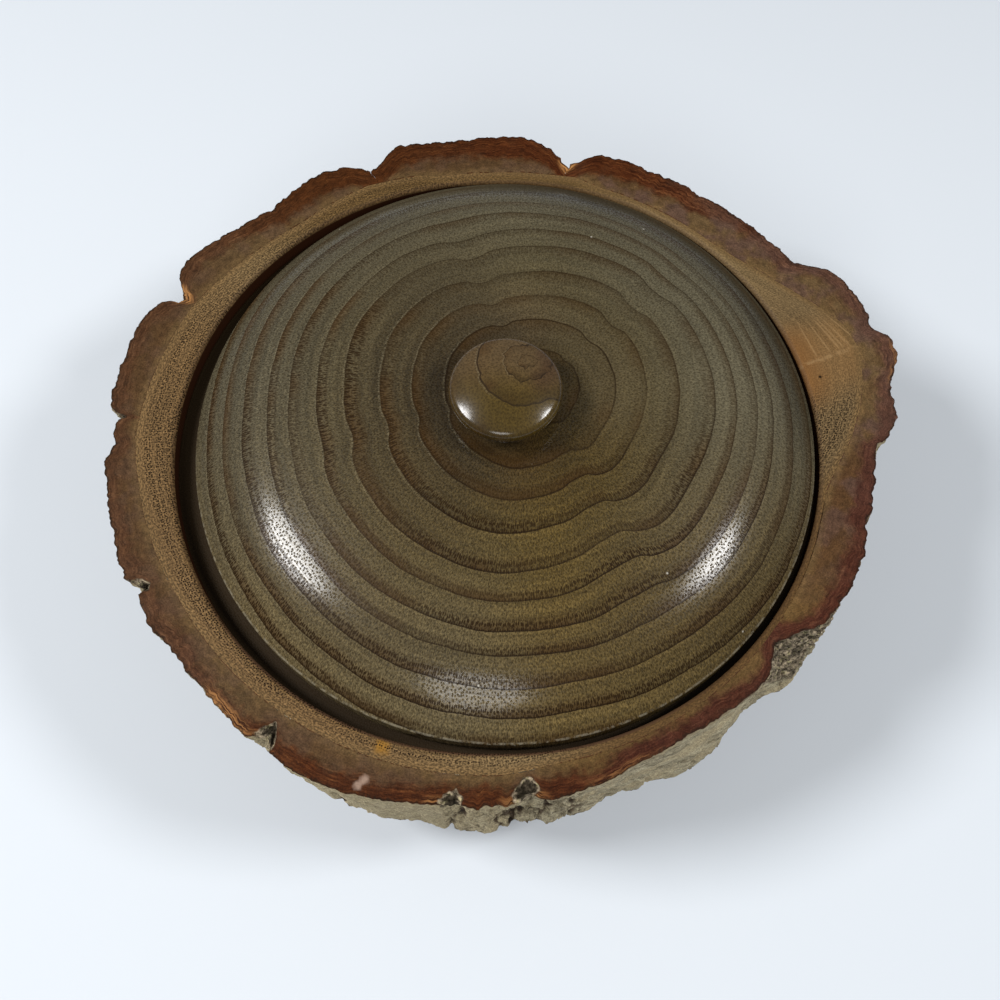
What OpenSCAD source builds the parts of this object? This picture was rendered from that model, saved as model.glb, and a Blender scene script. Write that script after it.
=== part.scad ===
// Lidded bowl turned from a slice of log, with the bark left on its rim.
// The bowl's turning axis is Z, its foot stands on Z = 0, and the front is towards -Y.

/* [Lid] */
// Diameter of the lid over its edge
lid_d = 138; // [120:1:160]
// Height of the lid's upright edge
lid_edge_h = 5.5; // [3:0.5:9]
// Radius of the shallow crown
crown_r = 260; // [180:5:400]
// Width of the rounded shoulder, measured in from the edge
shoulder_w = 19; // [12:1:28]
// Slope of the shoulder where it meets the upright edge, in degrees
edge_slope = 45; // [30:1:65]
// Thickness of the lid under its crown
lid_t = 7; // [5:0.5:10]
// Width of the flat ring that the lid stands on
lid_ring_w = 9; // [7:0.5:14]
// Radius of the corner inside the lid
lid_corner_r = 5; // [3:0.5:6]

/* [Knob] */
// Diameter of the knob's head
knob_d = 23.6; // [20:0.2:30]
// Height of the knob above the crown
knob_h = 10.2; // [8.6:0.2:16]
// Radius of the knob's top
knob_crown_r = 28; // [20:0.5:40]
// Radius round the rim of the knob's head
knob_edge_r = 2; // [1.5:0.25:3]
// Diameter of the knob's neck
neck_d = 17; // [12:0.5:18]

/* [Lid seat] */
// Depth of the seat below the rim
seat_depth = 5; // [3:0.5:8]
// Gap round the lid across the narrow way of the seat
lid_slack = 1.2; // [0.6:0.1:3]
// How much further the seat reaches each way along X, where the bowl has gone oval
seat_oval = 2; // [0.5:0.1:3]
// Width of ledge under the lid's edge
lid_bearing = 4; // [3.5:0.1:6]
// Width and depth of the eased edge round the top of the seat
lip_ease = 0.5; // [0.2:0.1:0.6]
// Where the lid has slid to in its seat, along X
lid_shift_x = 1.8; // [-2:0.1:2]
// Where the lid has slid to in its seat, along Y
lid_shift_y = 0.2; // [-0.5:0.1:0.5]

/* [Bowl] */
// Height of the rim above the table
rim_h = 58; // [50:1:75]
// Diameter of the foot
foot_d = 96; // [80:1:110]
// Height of the foot's upright edge
foot_h = 3; // [1:0.5:6]
// Radius of the turned belly
belly_r = 78; // [65:1:140]
// Thickness of the floor in the middle
floor_t = 11; // [7:0.5:15]
// Radius of the dish in the floor
floor_dish_r = 300; // [200:10:600]
// Radius of the corner between the floor and the wall
hollow_corner_r = 28; // [18:1:38]

/* [Bark] */
// Least thickness of bark over the wood
bark_least = 1.5; // [0.5:0.1:3]
// Depth below the rim at which the bark's face has settled to its skirt
skirt_drop = 24; // [12:1:40]
// How far the lathe's cut passes outside the widest bark, at the rim
lathe_margin = 2; // [1:0.5:6]

/* [Hidden] */
$fn = 96;

// Clefts where the bark is cracked through to the wood, in degrees from +X
knot_cleft = -1;
back_cleft = 77;
back_left_cleft = 113;
left_cleft = 154;
front_left_cleft = 205;
front_cleft = 235;
front_right_cleft = 275;
right_cleft = 321;

// Width of the wood on the rim, outside the seat's narrow radius: angle, width
rim_wood = [
    [0, 9.5], [5, 12.5], [10, 15], [15, 17], [20, 16], [25, 12.5], [30, 9], [35, 6.5], [40, 4.5],
    [45, 3.5], [60, 3], [70, 3], [75, 4], [80, 3.5], [90, 3], [100, 3], [105, 4.5], [115, 6],
    [130, 5], [140, 6.5], [155, 9.5], [180, 11], [190, 9.5], [210, 7], [240, 5.5], [255, 5],
    [270, 4.5], [280, 3], [345, 3], [350, 3.5], [355, 6], [360, 9.5]
];

// Reach of the bark's broken upper edge, outside the seat's narrow radius: angle, reach
rim_edge = [
    [0, 17.7], [3, 20.2], [8, 20.7], [10, 22.4], [13, 25], [16, 24.8], [18, 21.4], [20, 22.8],
    [26, 22.4], [29, 20.9], [33, 14.7], [40, 13.9], [50, 13.3], [53, 12.4], [56, 13.4], [63, 12.5],
    [68, 13.2], [72, 12.6], [77, 6.8], [81, 11.9], [86, 14.4], [91, 13.7], [100, 13.5], [107, 15.1],
    [113, 9.5], [117, 13.8], [122, 15], [132, 13], [139, 14.8], [148, 18.1], [151, 16.5], [154, 12],
    [156, 16.3], [159, 18.7], [175, 18], [176, 16.1], [181, 15.7], [184, 17.2], [190, 16.3],
    [203, 15.7], [205, 13], [207, 14.5], [211, 14.6], [217, 13], [223, 12.7], [228, 13.2], [233, 13.4],
    [235, 11], [237, 13.4], [240, 13.8], [244, 13.8], [249, 13.3], [255, 12], [262, 10.8], [264, 10],
    [266, 10.8], [272, 10.2], [275, 8.2], [278, 9.6], [284, 9], [291, 7.3], [300, 6.6], [307, 7.2],
    [312, 8], [316, 7.6], [321, 4.6], [328, 11.4], [334, 12.7], [341, 13.3], [352, 13.5], [358, 14.5],
    [360, 17.7]
];

// Reach of the bark's skirt, where its face has settled: angle, reach
rim_skirt = [
    [0, 18], [8, 21], [15, 22.5], [25, 21], [33, 16.5], [45, 13.5], [60, 13], [77, 12], [90, 13.5],
    [105, 14], [113, 12.5], [122, 14.5], [132, 13], [147, 16.5], [155, 15.5], [165, 17], [180, 16],
    [195, 15], [206, 13.8], [216, 12.6], [225, 12.2], [233, 12.8], [238, 13], [250, 13.2], [258, 12.2],
    [265, 11.6], [270, 11.8], [273, 10], [278, 10.8], [284, 9.6], [290, 8.2], [296, 9], [302, 10.8],
    [307, 10.8], [313, 8.6], [318, 9.6], [322, 12.6], [328, 13.6], [340, 13.6], [350, 14.5], [360, 18]
];

// Steps in degrees round the rim: flats on the wood under the bark, and rings of the bark
wood_step = 5;
bark_step = 1;
// Bands down the bark's face, and across its turned underside
face_bands = 4;
under_bands = 3;

lid_r = lid_d / 2;
seat_r = lid_r + lid_slack;
seat_z = rim_h - seat_depth;
mouth_r = lid_r - lid_bearing;
foot_r = foot_d / 2;

// Crown and shoulder of the lid: the shoulder's arc ends at the edge, at the slope given
shoulder_start = lid_r - shoulder_w;
shoulder_r = shoulder_w / (sin(edge_slope) - shoulder_start / crown_r);
shoulder_at = lid_r - shoulder_r * sin(edge_slope);
shoulder_z = lid_edge_h - shoulder_r * cos(edge_slope);
lid_top = shoulder_z + domed_h(shoulder_r, shoulder_at, crown_r);
lid_hollow_r = lid_r - lid_ring_w;
lid_corner_at = lid_hollow_r - lid_corner_r;

// Head of the knob
knob_edge_at = knob_d / 2 - knob_edge_r;
knob_edge_z = lid_top + knob_h - domed_h(knob_edge_r, knob_edge_at, knob_crown_r);

// Belly: an arc from the top of the foot out to the lathe's cut at the rim
lathe_r = seat_r + max([for (p = rim_edge) p[1]]) + lathe_margin;
belly_chord = [lathe_r - foot_r, rim_h - foot_h];
belly_sag = sqrt(pow(belly_r, 2) - pow(norm(belly_chord) / 2, 2));
belly_at = [foot_r, foot_h] + belly_chord / 2
    + belly_sag * [-belly_chord[1], belly_chord[0]] / norm(belly_chord);

// Hollow of the bowl
hollow_corner_at = mouth_r - hollow_corner_r;
hollow_corner_z = floor_t + domed_h(hollow_corner_r, hollow_corner_at, floor_dish_r);

function domed_h(edge_r, edge_at, top_r) = top_r - sqrt(pow(top_r - edge_r, 2) - pow(edge_at, 2));
function belly_r_at(z) = belly_at[0] + sqrt(pow(belly_r, 2) - pow(belly_at[1] - z, 2));
function belly_z_at(r) = belly_at[1] - sqrt(pow(belly_r, 2) - pow(r - belly_at[0], 2));
function turn(a) = a - 360 * floor(a / 360);
function corner_r(a) = seat_r + lookup(turn(a), rim_wood);

// Radius of the wood at any angle: the flats run straight from corner to corner
function wood_r(a) =
    let (a0 = wood_step * floor(a / wood_step), r0 = corner_r(a0), r1 = corner_r(a0 + wood_step))
    r0 * r1 * sin(wood_step) / (r0 * sin(a - a0) + r1 * sin(a0 + wood_step - a));

// Radius of the bark's face: its broken edge at the rim, easing to its skirt below
function bark_r(a, z) =
    let (edge = seat_r + lookup(turn(a), rim_edge), skirt = seat_r + lookup(turn(a), rim_skirt))
    let (u = min(1, (rim_h - z) / skirt_drop), ease = u * u * (3 - 2 * u))
    max(wood_r(a) + bark_least, edge + (skirt - edge) * ease);

// Height at which the lathe's cut meets the bark's face, found by halving
function cut_z(a, low = foot_h, high = rim_h, halvings = 16) =
    let (mid = (low + high) / 2)
    halvings == 0 ? mid
    : bark_r(a, mid) > belly_r_at(mid) ? cut_z(a, mid, high, halvings - 1)
    : cut_z(a, low, mid, halvings - 1);

// Section through the bark at one angle: top, face, turned underside
function bark_section(a) =
    let (cut = cut_z(a), inner = wood_r(a), outer = belly_r_at(cut))
    concat(
        [[inner, rim_h]],
        [for (i = [0:face_bands - 1]) let (z = rim_h - (rim_h - cut) * i / face_bands) [bark_r(a, z), z]],
        [for (i = [0:under_bands]) let (r = outer + (inner - outer) * i / under_bands) [r, belly_z_at(r)]]
    );

// Half section with a crown on the axis and a rounded edge, above height 0
module domed_2d(edge_r, edge_at, edge_z, top_r) {
    top = edge_z + domed_h(edge_r, edge_at, top_r);
    meet = edge_at * top_r / (top_r - edge_r);
    intersection() {
        translate([0, top - top_r]) circle(top_r);
        square([meet, top]);
    }
    intersection() {
        translate([edge_at, edge_z]) circle(edge_r);
        translate([meet, max(0, edge_z)]) square([edge_r, top]);
    }
    if (edge_z > 0) square([edge_at + edge_r, edge_z]);
}

module knob_2d() {
    square([neck_d / 2, knob_edge_z]);
    translate([0, knob_edge_z - knob_edge_r]) square([knob_edge_at, knob_edge_r]);
    translate([knob_edge_at, knob_edge_z]) intersection() {
        circle(knob_edge_r);
        translate([0, -knob_edge_r]) square([knob_edge_r, knob_edge_r]);
    }
    translate([0, knob_edge_z]) domed_2d(knob_edge_r, knob_edge_at, 0, knob_crown_r);
}

module lid_2d() {
    difference() {
        union() {
            intersection() {
                domed_2d(shoulder_r, shoulder_at, shoulder_z, crown_r);
                square([lid_r, lid_top]);
            }
            knob_2d();
        }
        lid_hollow_2d();
    }
}

// Underside of the lid: its ceiling runs parallel to the crown
module lid_hollow_2d() {
    ceiling_r = crown_r - lid_t;
    ceiling_h = domed_h(lid_corner_r, lid_corner_at, ceiling_r);
    domed_2d(lid_corner_r, lid_corner_at, lid_top - lid_t - ceiling_h, ceiling_r);
}

module belly_2d() {
    square([foot_r, rim_h]);
    intersection() {
        translate(belly_at) circle(belly_r);
        translate([0, foot_h]) square([lathe_r, rim_h - foot_h]);
    }
}

module hollow_2d() {
    translate([0, hollow_corner_z]) mirror([0, 1])
        domed_2d(hollow_corner_r, hollow_corner_at, 0, floor_dish_r);
    translate([0, hollow_corner_z]) square([mouth_r, rim_h]);
}

// Seat for the lid: two turned circles drawn apart along X, with an eased upper edge
module lid_seat() {
    for (side = [-1, 1]) translate([side * seat_oval, 0, 0]) {
        translate([0, 0, seat_z]) cylinder(r = seat_r, h = rim_h);
        translate([0, 0, rim_h - lip_ease])
            cylinder(r1 = seat_r, r2 = seat_r + 2 * lip_ease, h = 2 * lip_ease);
    }
}

module bowl() {
    color("peru") difference() {
        intersection() {
            linear_extrude(rim_h)
                polygon([for (a = [0:wood_step:360 - wood_step]) corner_r(a) * [cos(a), sin(a)]]);
            rotate_extrude() belly_2d();
        }
        rotate_extrude() hollow_2d();
        lid_seat();
    }
}

module lid() {
    color("darkolivegreen")
        translate([lid_shift_x, lid_shift_y, seat_z]) rotate_extrude() lid_2d();
}

// One length of bark, between two clefts
module bark(from, to) {
    steps = (to - from) / bark_step;
    rings = [for (i = [0:steps]) bark_section(from + i * bark_step)];
    n = len(rings[0]);
    points = [
        for (i = [0:steps], p = rings[i])
            [p[0] * cos(from + i * bark_step), p[0] * sin(from + i * bark_step), p[1]]
    ];
    sides = [
        for (i = [0:steps - 1], j = [0:n - 1])
            let (a = i * n + j, b = i * n + (j + 1) % n)
            each [[a, a + n, b + n], [a, b + n, b]]
    ];
    start = [for (j = [0:n - 1]) j];
    end = [for (j = [n - 1:-1:0]) steps * n + j];
    color("saddlebrown") polyhedron(points, concat([start], sides, [end]));
}

bowl();
lid();
bark(knot_cleft, back_cleft);  // bark_knot
bark(back_cleft, back_left_cleft);  // bark_back
bark(back_left_cleft, left_cleft);  // bark_back_left
bark(left_cleft, front_left_cleft);  // bark_left
bark(front_left_cleft, front_cleft);  // bark_front_left
bark(front_cleft, front_right_cleft);  // bark_front
bark(front_right_cleft, right_cleft);  // bark_front_right
bark(right_cleft, knot_cleft + 360);  // bark_right
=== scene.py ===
"""Looks of a lidded bowl turned from a slice of log, with its bark left on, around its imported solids."""
import logging
import math
from dataclasses import dataclass, field
from enum import Enum
from functools import partial, reduce
from typing import Any

import bmesh
import bpy
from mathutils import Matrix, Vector, noise


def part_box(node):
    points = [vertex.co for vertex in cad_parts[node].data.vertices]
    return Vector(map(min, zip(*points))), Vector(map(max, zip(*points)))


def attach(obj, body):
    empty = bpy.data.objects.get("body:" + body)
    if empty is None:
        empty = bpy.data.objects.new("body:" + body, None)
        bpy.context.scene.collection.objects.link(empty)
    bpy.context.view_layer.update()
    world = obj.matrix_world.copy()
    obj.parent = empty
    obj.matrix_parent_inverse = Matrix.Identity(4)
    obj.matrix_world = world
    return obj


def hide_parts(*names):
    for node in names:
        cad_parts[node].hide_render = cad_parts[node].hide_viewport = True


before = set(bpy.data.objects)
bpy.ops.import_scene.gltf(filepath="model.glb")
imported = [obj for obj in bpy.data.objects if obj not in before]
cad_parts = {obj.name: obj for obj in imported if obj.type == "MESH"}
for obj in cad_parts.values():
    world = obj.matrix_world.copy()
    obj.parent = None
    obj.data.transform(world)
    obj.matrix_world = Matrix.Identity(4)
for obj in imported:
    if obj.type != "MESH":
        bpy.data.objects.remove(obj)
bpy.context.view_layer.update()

LOG = logging.getLogger("lidded_bowl")
# Values that each length of bark keeps on its mesh for its finish.
KEPT = ("layer", "rind", "skin", "furrow", "pocket", "torn", "shaved")

# Metres to a millimetre: sizes are in mm, and meshes are in metres.
MM = 0.001
FULL_TURN = 2 * math.pi
MERGE = 1e-7
# Seed of the noise that bends the bark's furrows: without one, Blender takes it from the clock.
SEED = 7
# Edges sharper than this, in radians, are shaded as corners.
CORNER = math.radians(50)

Point = tuple[float, float]
# A side's angle and its reach each way, in degrees
Sector = tuple[float, float]
Colour = tuple[float, float, float, float]
Socket = bpy.types.NodeSocket


class Body(Enum):
    """The CAD bodies that pieces ride on."""

    BOWL = "bowl"
    LID = "lid"


class Slot(Enum):
    """The record's material slots."""

    BOWL_WOOD = "bowl_wood"
    LID_WOOD = "lid_wood"
    BARK = "bark"


class Run(Enum):
    """Stretches of a section through the bark, in order round it: first and last point, and cells."""

    TOP = (0, 1, 26)
    FACE = (1, 5, 54)
    UNDER = (5, 8, 26)
    INNER = (8, 9, 6)


@dataclass(frozen=True)
class Side:
    """A side that takes a tone: its angle and reach each way in degrees, how strongly, and the tone."""

    angle: float
    reach: float
    strength: float
    paint: Colour


def tone(red: float, green: float, blue: float) -> Colour:
    """Give a colour, in linear light, its alpha."""
    return (red, green, blue, 1.0)


def ease(value: float, low: float, high: float) -> float:
    """Rise smoothly from 0 at low to 1 at high."""
    share = min(1.0, max(0.0, (value - low) / (high - low)))
    return share * share * (3 - 2 * share)


def arc(centre: Point, radius: float, start: float, end: float, steps: int) -> list[Point]:
    """Points along an arc of a turned profile.

    Args:
        centre: Radius and height of the arc's centre, in mm.
        radius: The arc's own radius, in mm.
        start: Direction of the first point from the centre, in degrees up from outwards.
        end: Direction of the last point.
        steps: How many lengths the arc is cut into.

    Returns:
        Radius and height of each point, in mm, both ends included.
    """
    turns = [math.radians(start + (end - start) * i / steps) for i in range(steps + 1)]
    return [(centre[0] + radius * math.cos(t), centre[1] + radius * math.sin(t)) for t in turns]


def line(start: Point, end: Point, steps: int) -> list[Point]:
    """Points along a straight run of a turned profile.

    Args:
        start: Radius and height of the first point, in mm.
        end: Radius and height of the last point.
        steps: How many lengths the run is cut into.

    Returns:
        Radius and height of each point, in mm, both ends included.
    """
    shares = [i / steps for i in range(steps + 1)]
    return [(start[0] + (end[0] - start[0]) * s, start[1] + (end[1] - start[1]) * s) for s in shares]


def dome_height(edge: float, edge_at: float, crown: float) -> float:
    """Height of a crown above the centre of the arc that rounds its edge.

    Args:
        edge: Radius of the edge's arc.
        edge_at: Distance of that arc's centre from the axis.
        crown: Radius of the crown.

    Returns:
        The height, in the units given.
    """
    return crown - math.sqrt((crown - edge) ** 2 - edge_at ** 2)


def spun(profile: list[Point], axis: Point, turns: int) -> bmesh.types.BMesh:
    """Turn a profile about an upright axis.

    Args:
        profile: Radius and height of each point, in mm, from the axis round to the axis.
        axis: Where the axis stands, in mm.
        turns: Steps in the full turn.

    Returns:
        A closed mesh, in metres.
    """
    mesh = bmesh.new()
    points = [mesh.verts.new(((axis[0] + r) * MM, axis[1] * MM, z * MM)) for r, z in profile]
    for first, second in zip(points, points[1:]):
        mesh.edges.new((first, second))
    bmesh.ops.spin(
        mesh,
        geom=mesh.verts[:] + mesh.edges[:],
        cent=(axis[0] * MM, axis[1] * MM, 0),
        axis=(0, 0, 1),
        angle=FULL_TURN,
        steps=turns,
        use_merge=True,
    )
    bmesh.ops.remove_doubles(mesh, verts=mesh.verts, dist=MERGE)
    bmesh.ops.recalc_face_normals(mesh, faces=mesh.faces)
    return mesh


def settle(mesh: bmesh.types.BMesh, name: str, body: Body, slot: Slot, *nodes: str) -> bpy.types.Object:
    """Make a smooth-shaded piece of a mesh, hang it on its body and hide the CAD nodes that it stands in for.

    Args:
        mesh: The finished mesh, in metres, which is freed.
        name: The piece's name.
        body: The CAD body that it rides on.
        slot: The record's material slot; not used.
        nodes: CAD nodes that it replaces.

    Returns:
        The new object.
    """
    data = bpy.data.meshes.new(name)
    for face in mesh.faces:
        face.smooth = True
    for edge in mesh.edges:
        edge.smooth = edge.calc_face_angle(0.0) < CORNER
    mesh.to_mesh(data)
    mesh.free()
    piece = bpy.data.objects.new(name, data)
    bpy.context.scene.collection.objects.link(piece)
    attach(piece, body.value)
    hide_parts(*nodes)
    return piece


class Graph:
    """Short calls that add nodes to one shader node tree."""

    def __init__(self, tree: bpy.types.NodeTree) -> None:
        """Keep the tree that the calls add to."""
        self.tree = tree

    def plug(self, socket: Socket, value: Any) -> None:
        """Link a socket to another one, or set its value.

        Args:
            socket: The input to fill.
            value: An output socket, or a plain value.
        """
        if isinstance(value, Socket):
            self.tree.links.new(value, socket)
        else:
            socket.default_value = value

    def add(self, kind: str, inputs: dict[Any, Any] | None = None, **settings: Any) -> bpy.types.Node:
        """Add a node.

        Args:
            kind: Blender's name for the node's type.
            inputs: What goes into its inputs, by name or number.
            settings: Its properties.

        Returns:
            The new node.
        """
        node = self.tree.nodes.new(kind)
        for name, value in settings.items():
            setattr(node, name, value)
        for key, value in (inputs or {}).items():
            self.plug(node.inputs[key], value)
        return node

    def math(self, operation: str, *values: Any) -> Socket:
        """Work out one number from others."""
        return self.add("ShaderNodeMath", dict(enumerate(values)), operation=operation).outputs[0]

    def times(self, *values: Any) -> Any:
        """Multiply numbers."""
        return reduce(partial(self.math, "MULTIPLY"), values)

    def plus(self, *values: Any) -> Any:
        """Add numbers."""
        return reduce(partial(self.math, "ADD"), values)

    def minus(self, value: Any, less: Any) -> Socket:
        """Take one number from another."""
        return self.math("SUBTRACT", value, less)

    def most(self, *values: Any) -> Any:
        """Keep the largest of some numbers."""
        return reduce(partial(self.math, "MAXIMUM"), values)

    def vector(self, operation: str, *values: Any) -> Socket:
        """Work out a vector, or a vector's length, from others."""
        node = self.add("ShaderNodeVectorMath", dict(enumerate(values)), operation=operation)
        return node.outputs["Value" if operation in ("LENGTH", "DISTANCE", "DOT_PRODUCT") else "Vector"]

    def scale(self, vector: Any, factor: Any) -> Socket:
        """Scale a vector."""
        return self.add("ShaderNodeVectorMath", {0: vector, "Scale": factor}, operation="SCALE").outputs[0]

    def join(self, x: Any, y: Any, z: Any) -> Socket:
        """Make a vector of three numbers."""
        return self.add("ShaderNodeCombineXYZ", {0: x, 1: y, 2: z}).outputs[0]

    def flat(self, vector: Any) -> Socket:
        """Leave a vector's height out."""
        return self.vector("MULTIPLY", vector, (1.0, 1.0, 0.0))

    def split(self, vector: Any) -> list[Socket]:
        """Take a vector apart."""
        return list(self.add("ShaderNodeSeparateXYZ", {0: vector}).outputs)

    def mix(self, factor: Any, low: Any, high: Any, blend: str = "MIX") -> Socket:
        """Mix two colours."""
        node = self.add("ShaderNodeMix", data_type="RGBA", blend_type=blend)
        for key, value in ((0, factor), (6, low), (7, high)):
            self.plug(node.inputs[key], value)
        return node.outputs[2]

    def step(self, value: Any, low: Any, high: Any) -> Socket:
        """Rise smoothly from 0 to 1 as a value goes from low to high."""
        node = self.add("ShaderNodeMapRange", {0: value, 1: low, 2: high}, interpolation_type="SMOOTHSTEP")
        return node.outputs[0]

    def spread(self, value: Any, low: Any, high: Any) -> Socket:
        """Stretch a value from 0 to 1 onto low to high."""
        return self.add("ShaderNodeMapRange", {0: value, 3: low, 4: high}).outputs[0]

    def noise(self, vector: Any, detail: float = 2.0, rough: float = 0.5) -> Socket:
        """Soft noise with one lump to each unit of the vector."""
        inputs = {"Vector": vector, "Scale": 1.0, "Detail": detail, "Roughness": rough}
        return self.add("ShaderNodeTexNoise", inputs).outputs[0]

    def clouds(self, place: Any, density: float, detail: float = 2.0, rough: float = 0.5) -> Socket:
        """Soft noise with so many lumps to a mm."""
        return self.noise(self.scale(place, density), detail, rough)

    def swing(self, vector: Any, detail: float = 2.0, rough: float = 0.5) -> Socket:
        """Soft noise about zero."""
        return self.minus(self.noise(vector, detail, rough), 0.5)

    def cells(self, vector: Any, feature: str = "F1", stray: Any = 1.0, level: str = "3D") -> Socket:
        """Distance into cells, one to each unit of the vector, in space or in the plane."""
        inputs = {"Vector": vector, "Scale": 1.0, "Randomness": stray}
        settings = {"feature": feature, "voronoi_dimensions": level}
        return self.add("ShaderNodeTexVoronoi", inputs, **settings).outputs["Distance"]

    def ramp(self, value: Any, stops: list[tuple[float, Colour]]) -> Socket:
        """Colour a value.

        Args:
            value: The value, from 0 to 1.
            stops: Places along it and their colours.

        Returns:
            The colour.
        """
        node = self.add("ShaderNodeValToRGB", {0: value})
        elements = node.color_ramp.elements
        while len(elements) < len(stops):
            elements.new(1.0)
        for element, (place, colour) in zip(elements, stops):
            element.position = place
            element.color = colour
        return node.outputs[0]

    def curve(self, value: Any, points: list[Point]) -> Socket:
        """Run a value through a smooth curve.

        Args:
            value: The value, from 0 to 1.
            points: Points that the curve goes through, first to last.

        Returns:
            The curve's height, from 0 to 1.
        """
        node = self.add("ShaderNodeFloatCurve", {"Value": value})
        knots = node.mapping.curves[0].points
        knots[0].location = points[0]
        knots[1].location = points[-1]
        for place in points[1:-1]:
            knots.new(*place)
        for knot in knots:
            knot.handle_type = "AUTO_CLAMPED"
        node.mapping.update()
        return node.outputs[0]

    def facing(self, way: Any, angle: float, width: float) -> Socket:
        """Mark the directions near one angle.

        Args:
            way: A level direction, one unit long.
            angle: The angle, in degrees.
            width: How far to each side the mark reaches, in degrees.

        Returns:
            The mark, full over the middle half.
        """
        turn = math.radians(angle)
        match = self.vector("DOT_PRODUCT", way, (math.cos(turn), math.sin(turn), 0.0))
        return self.step(match, math.cos(math.radians(width)), math.cos(math.radians(width / 2)))

    def shade(self, colour: Any, *factors: Any) -> Socket:
        """Lighten or darken a colour by some factors."""
        for factor in factors:
            colour = self.mix(1.0, colour, self.join(factor, factor, factor), "MULTIPLY")
        return colour

    def tint(self, colour: Any, paint: Any, *masks: Any) -> Socket:
        """Lay a paint over a colour, as far as some masks let it."""
        return self.mix(self.times(*masks), colour, paint)

    def by_side(self, colour: Any, way: Any, sides: tuple[Side, ...]) -> Any:
        """Tint a colour side by side.

        Args:
            colour: The colour.
            way: A level direction, one unit long.
            sides: The sides and their tones, in order.

        Returns:
            The tinted colour.
        """
        for side in sides:
            colour = self.tint(colour, side.paint, self.facing(way, side.angle, side.reach), side.strength)
        return colour

    def roughen(self, shader: bpy.types.Node, relief: Any, strength: float, depth: float) -> None:
        """Roughen a shader's surface by a relief, so many mm deep."""
        bump = self.add("ShaderNodeBump", {"Height": relief, "Strength": strength, "Distance": depth * MM})
        self.plug(shader.inputs["Normal"], bump.outputs[0])

    def attribute(self, name: str) -> Socket:
        """Read a value kept on the mesh."""
        return self.add("ShaderNodeAttribute", attribute_name=name).outputs["Fac"]

    def place(self) -> Socket:
        """Object coordinates in mm."""
        return self.scale(self.add("ShaderNodeTexCoord").outputs["Object"], 1 / MM)


def new_finish(name: str) -> tuple[bpy.types.Material, Graph, bpy.types.Node]:
    """Start a finish.

    Args:
        name: The material's name.

    Returns:
        The material, its tree and its shader.
    """
    finish = bpy.data.materials.new(name)
    finish.use_nodes = True
    return finish, Graph(finish.node_tree), finish.node_tree.nodes["Principled BSDF"]


class Effect:
    """A shader node group, built once and placed in each material that uses it."""

    name = ""
    inputs: dict[str, str] = {}
    outputs: dict[str, str] = {}

    def __init__(self) -> None:
        """Build the group from what draw() puts in it."""
        self.tree = bpy.data.node_groups.new(self.name, "ShaderNodeTree")
        for side, sockets in (("INPUT", self.inputs), ("OUTPUT", self.outputs)):
            for name, kind in sockets.items():
                self.tree.interface.new_socket(name=name, in_out=side, socket_type=f"NodeSocket{kind}")
        graph = Graph(self.tree)
        given = graph.add("NodeGroupInput").outputs
        graph.add("NodeGroupOutput", self.draw(graph, given))

    def draw(self, graph: Graph, given: Any) -> dict[str, Any]:
        """Add the group's nodes.

        Args:
            graph: The group's own tree.
            given: Its inputs, by name.

        Returns:
            What goes to each output, by name.
        """
        raise NotImplementedError

    def put(self, graph: Graph, **values: Any) -> Any:
        """Place the group in a material.

        Args:
            graph: The material's tree.
            values: What goes into its inputs, by name in small letters.

        Returns:
            Its outputs, by name.
        """
        node = graph.add("ShaderNodeGroup", node_tree=self.tree)
        for name, value in values.items():
            graph.plug(node.inputs[name.capitalize()], value)
        return node.outputs


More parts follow.
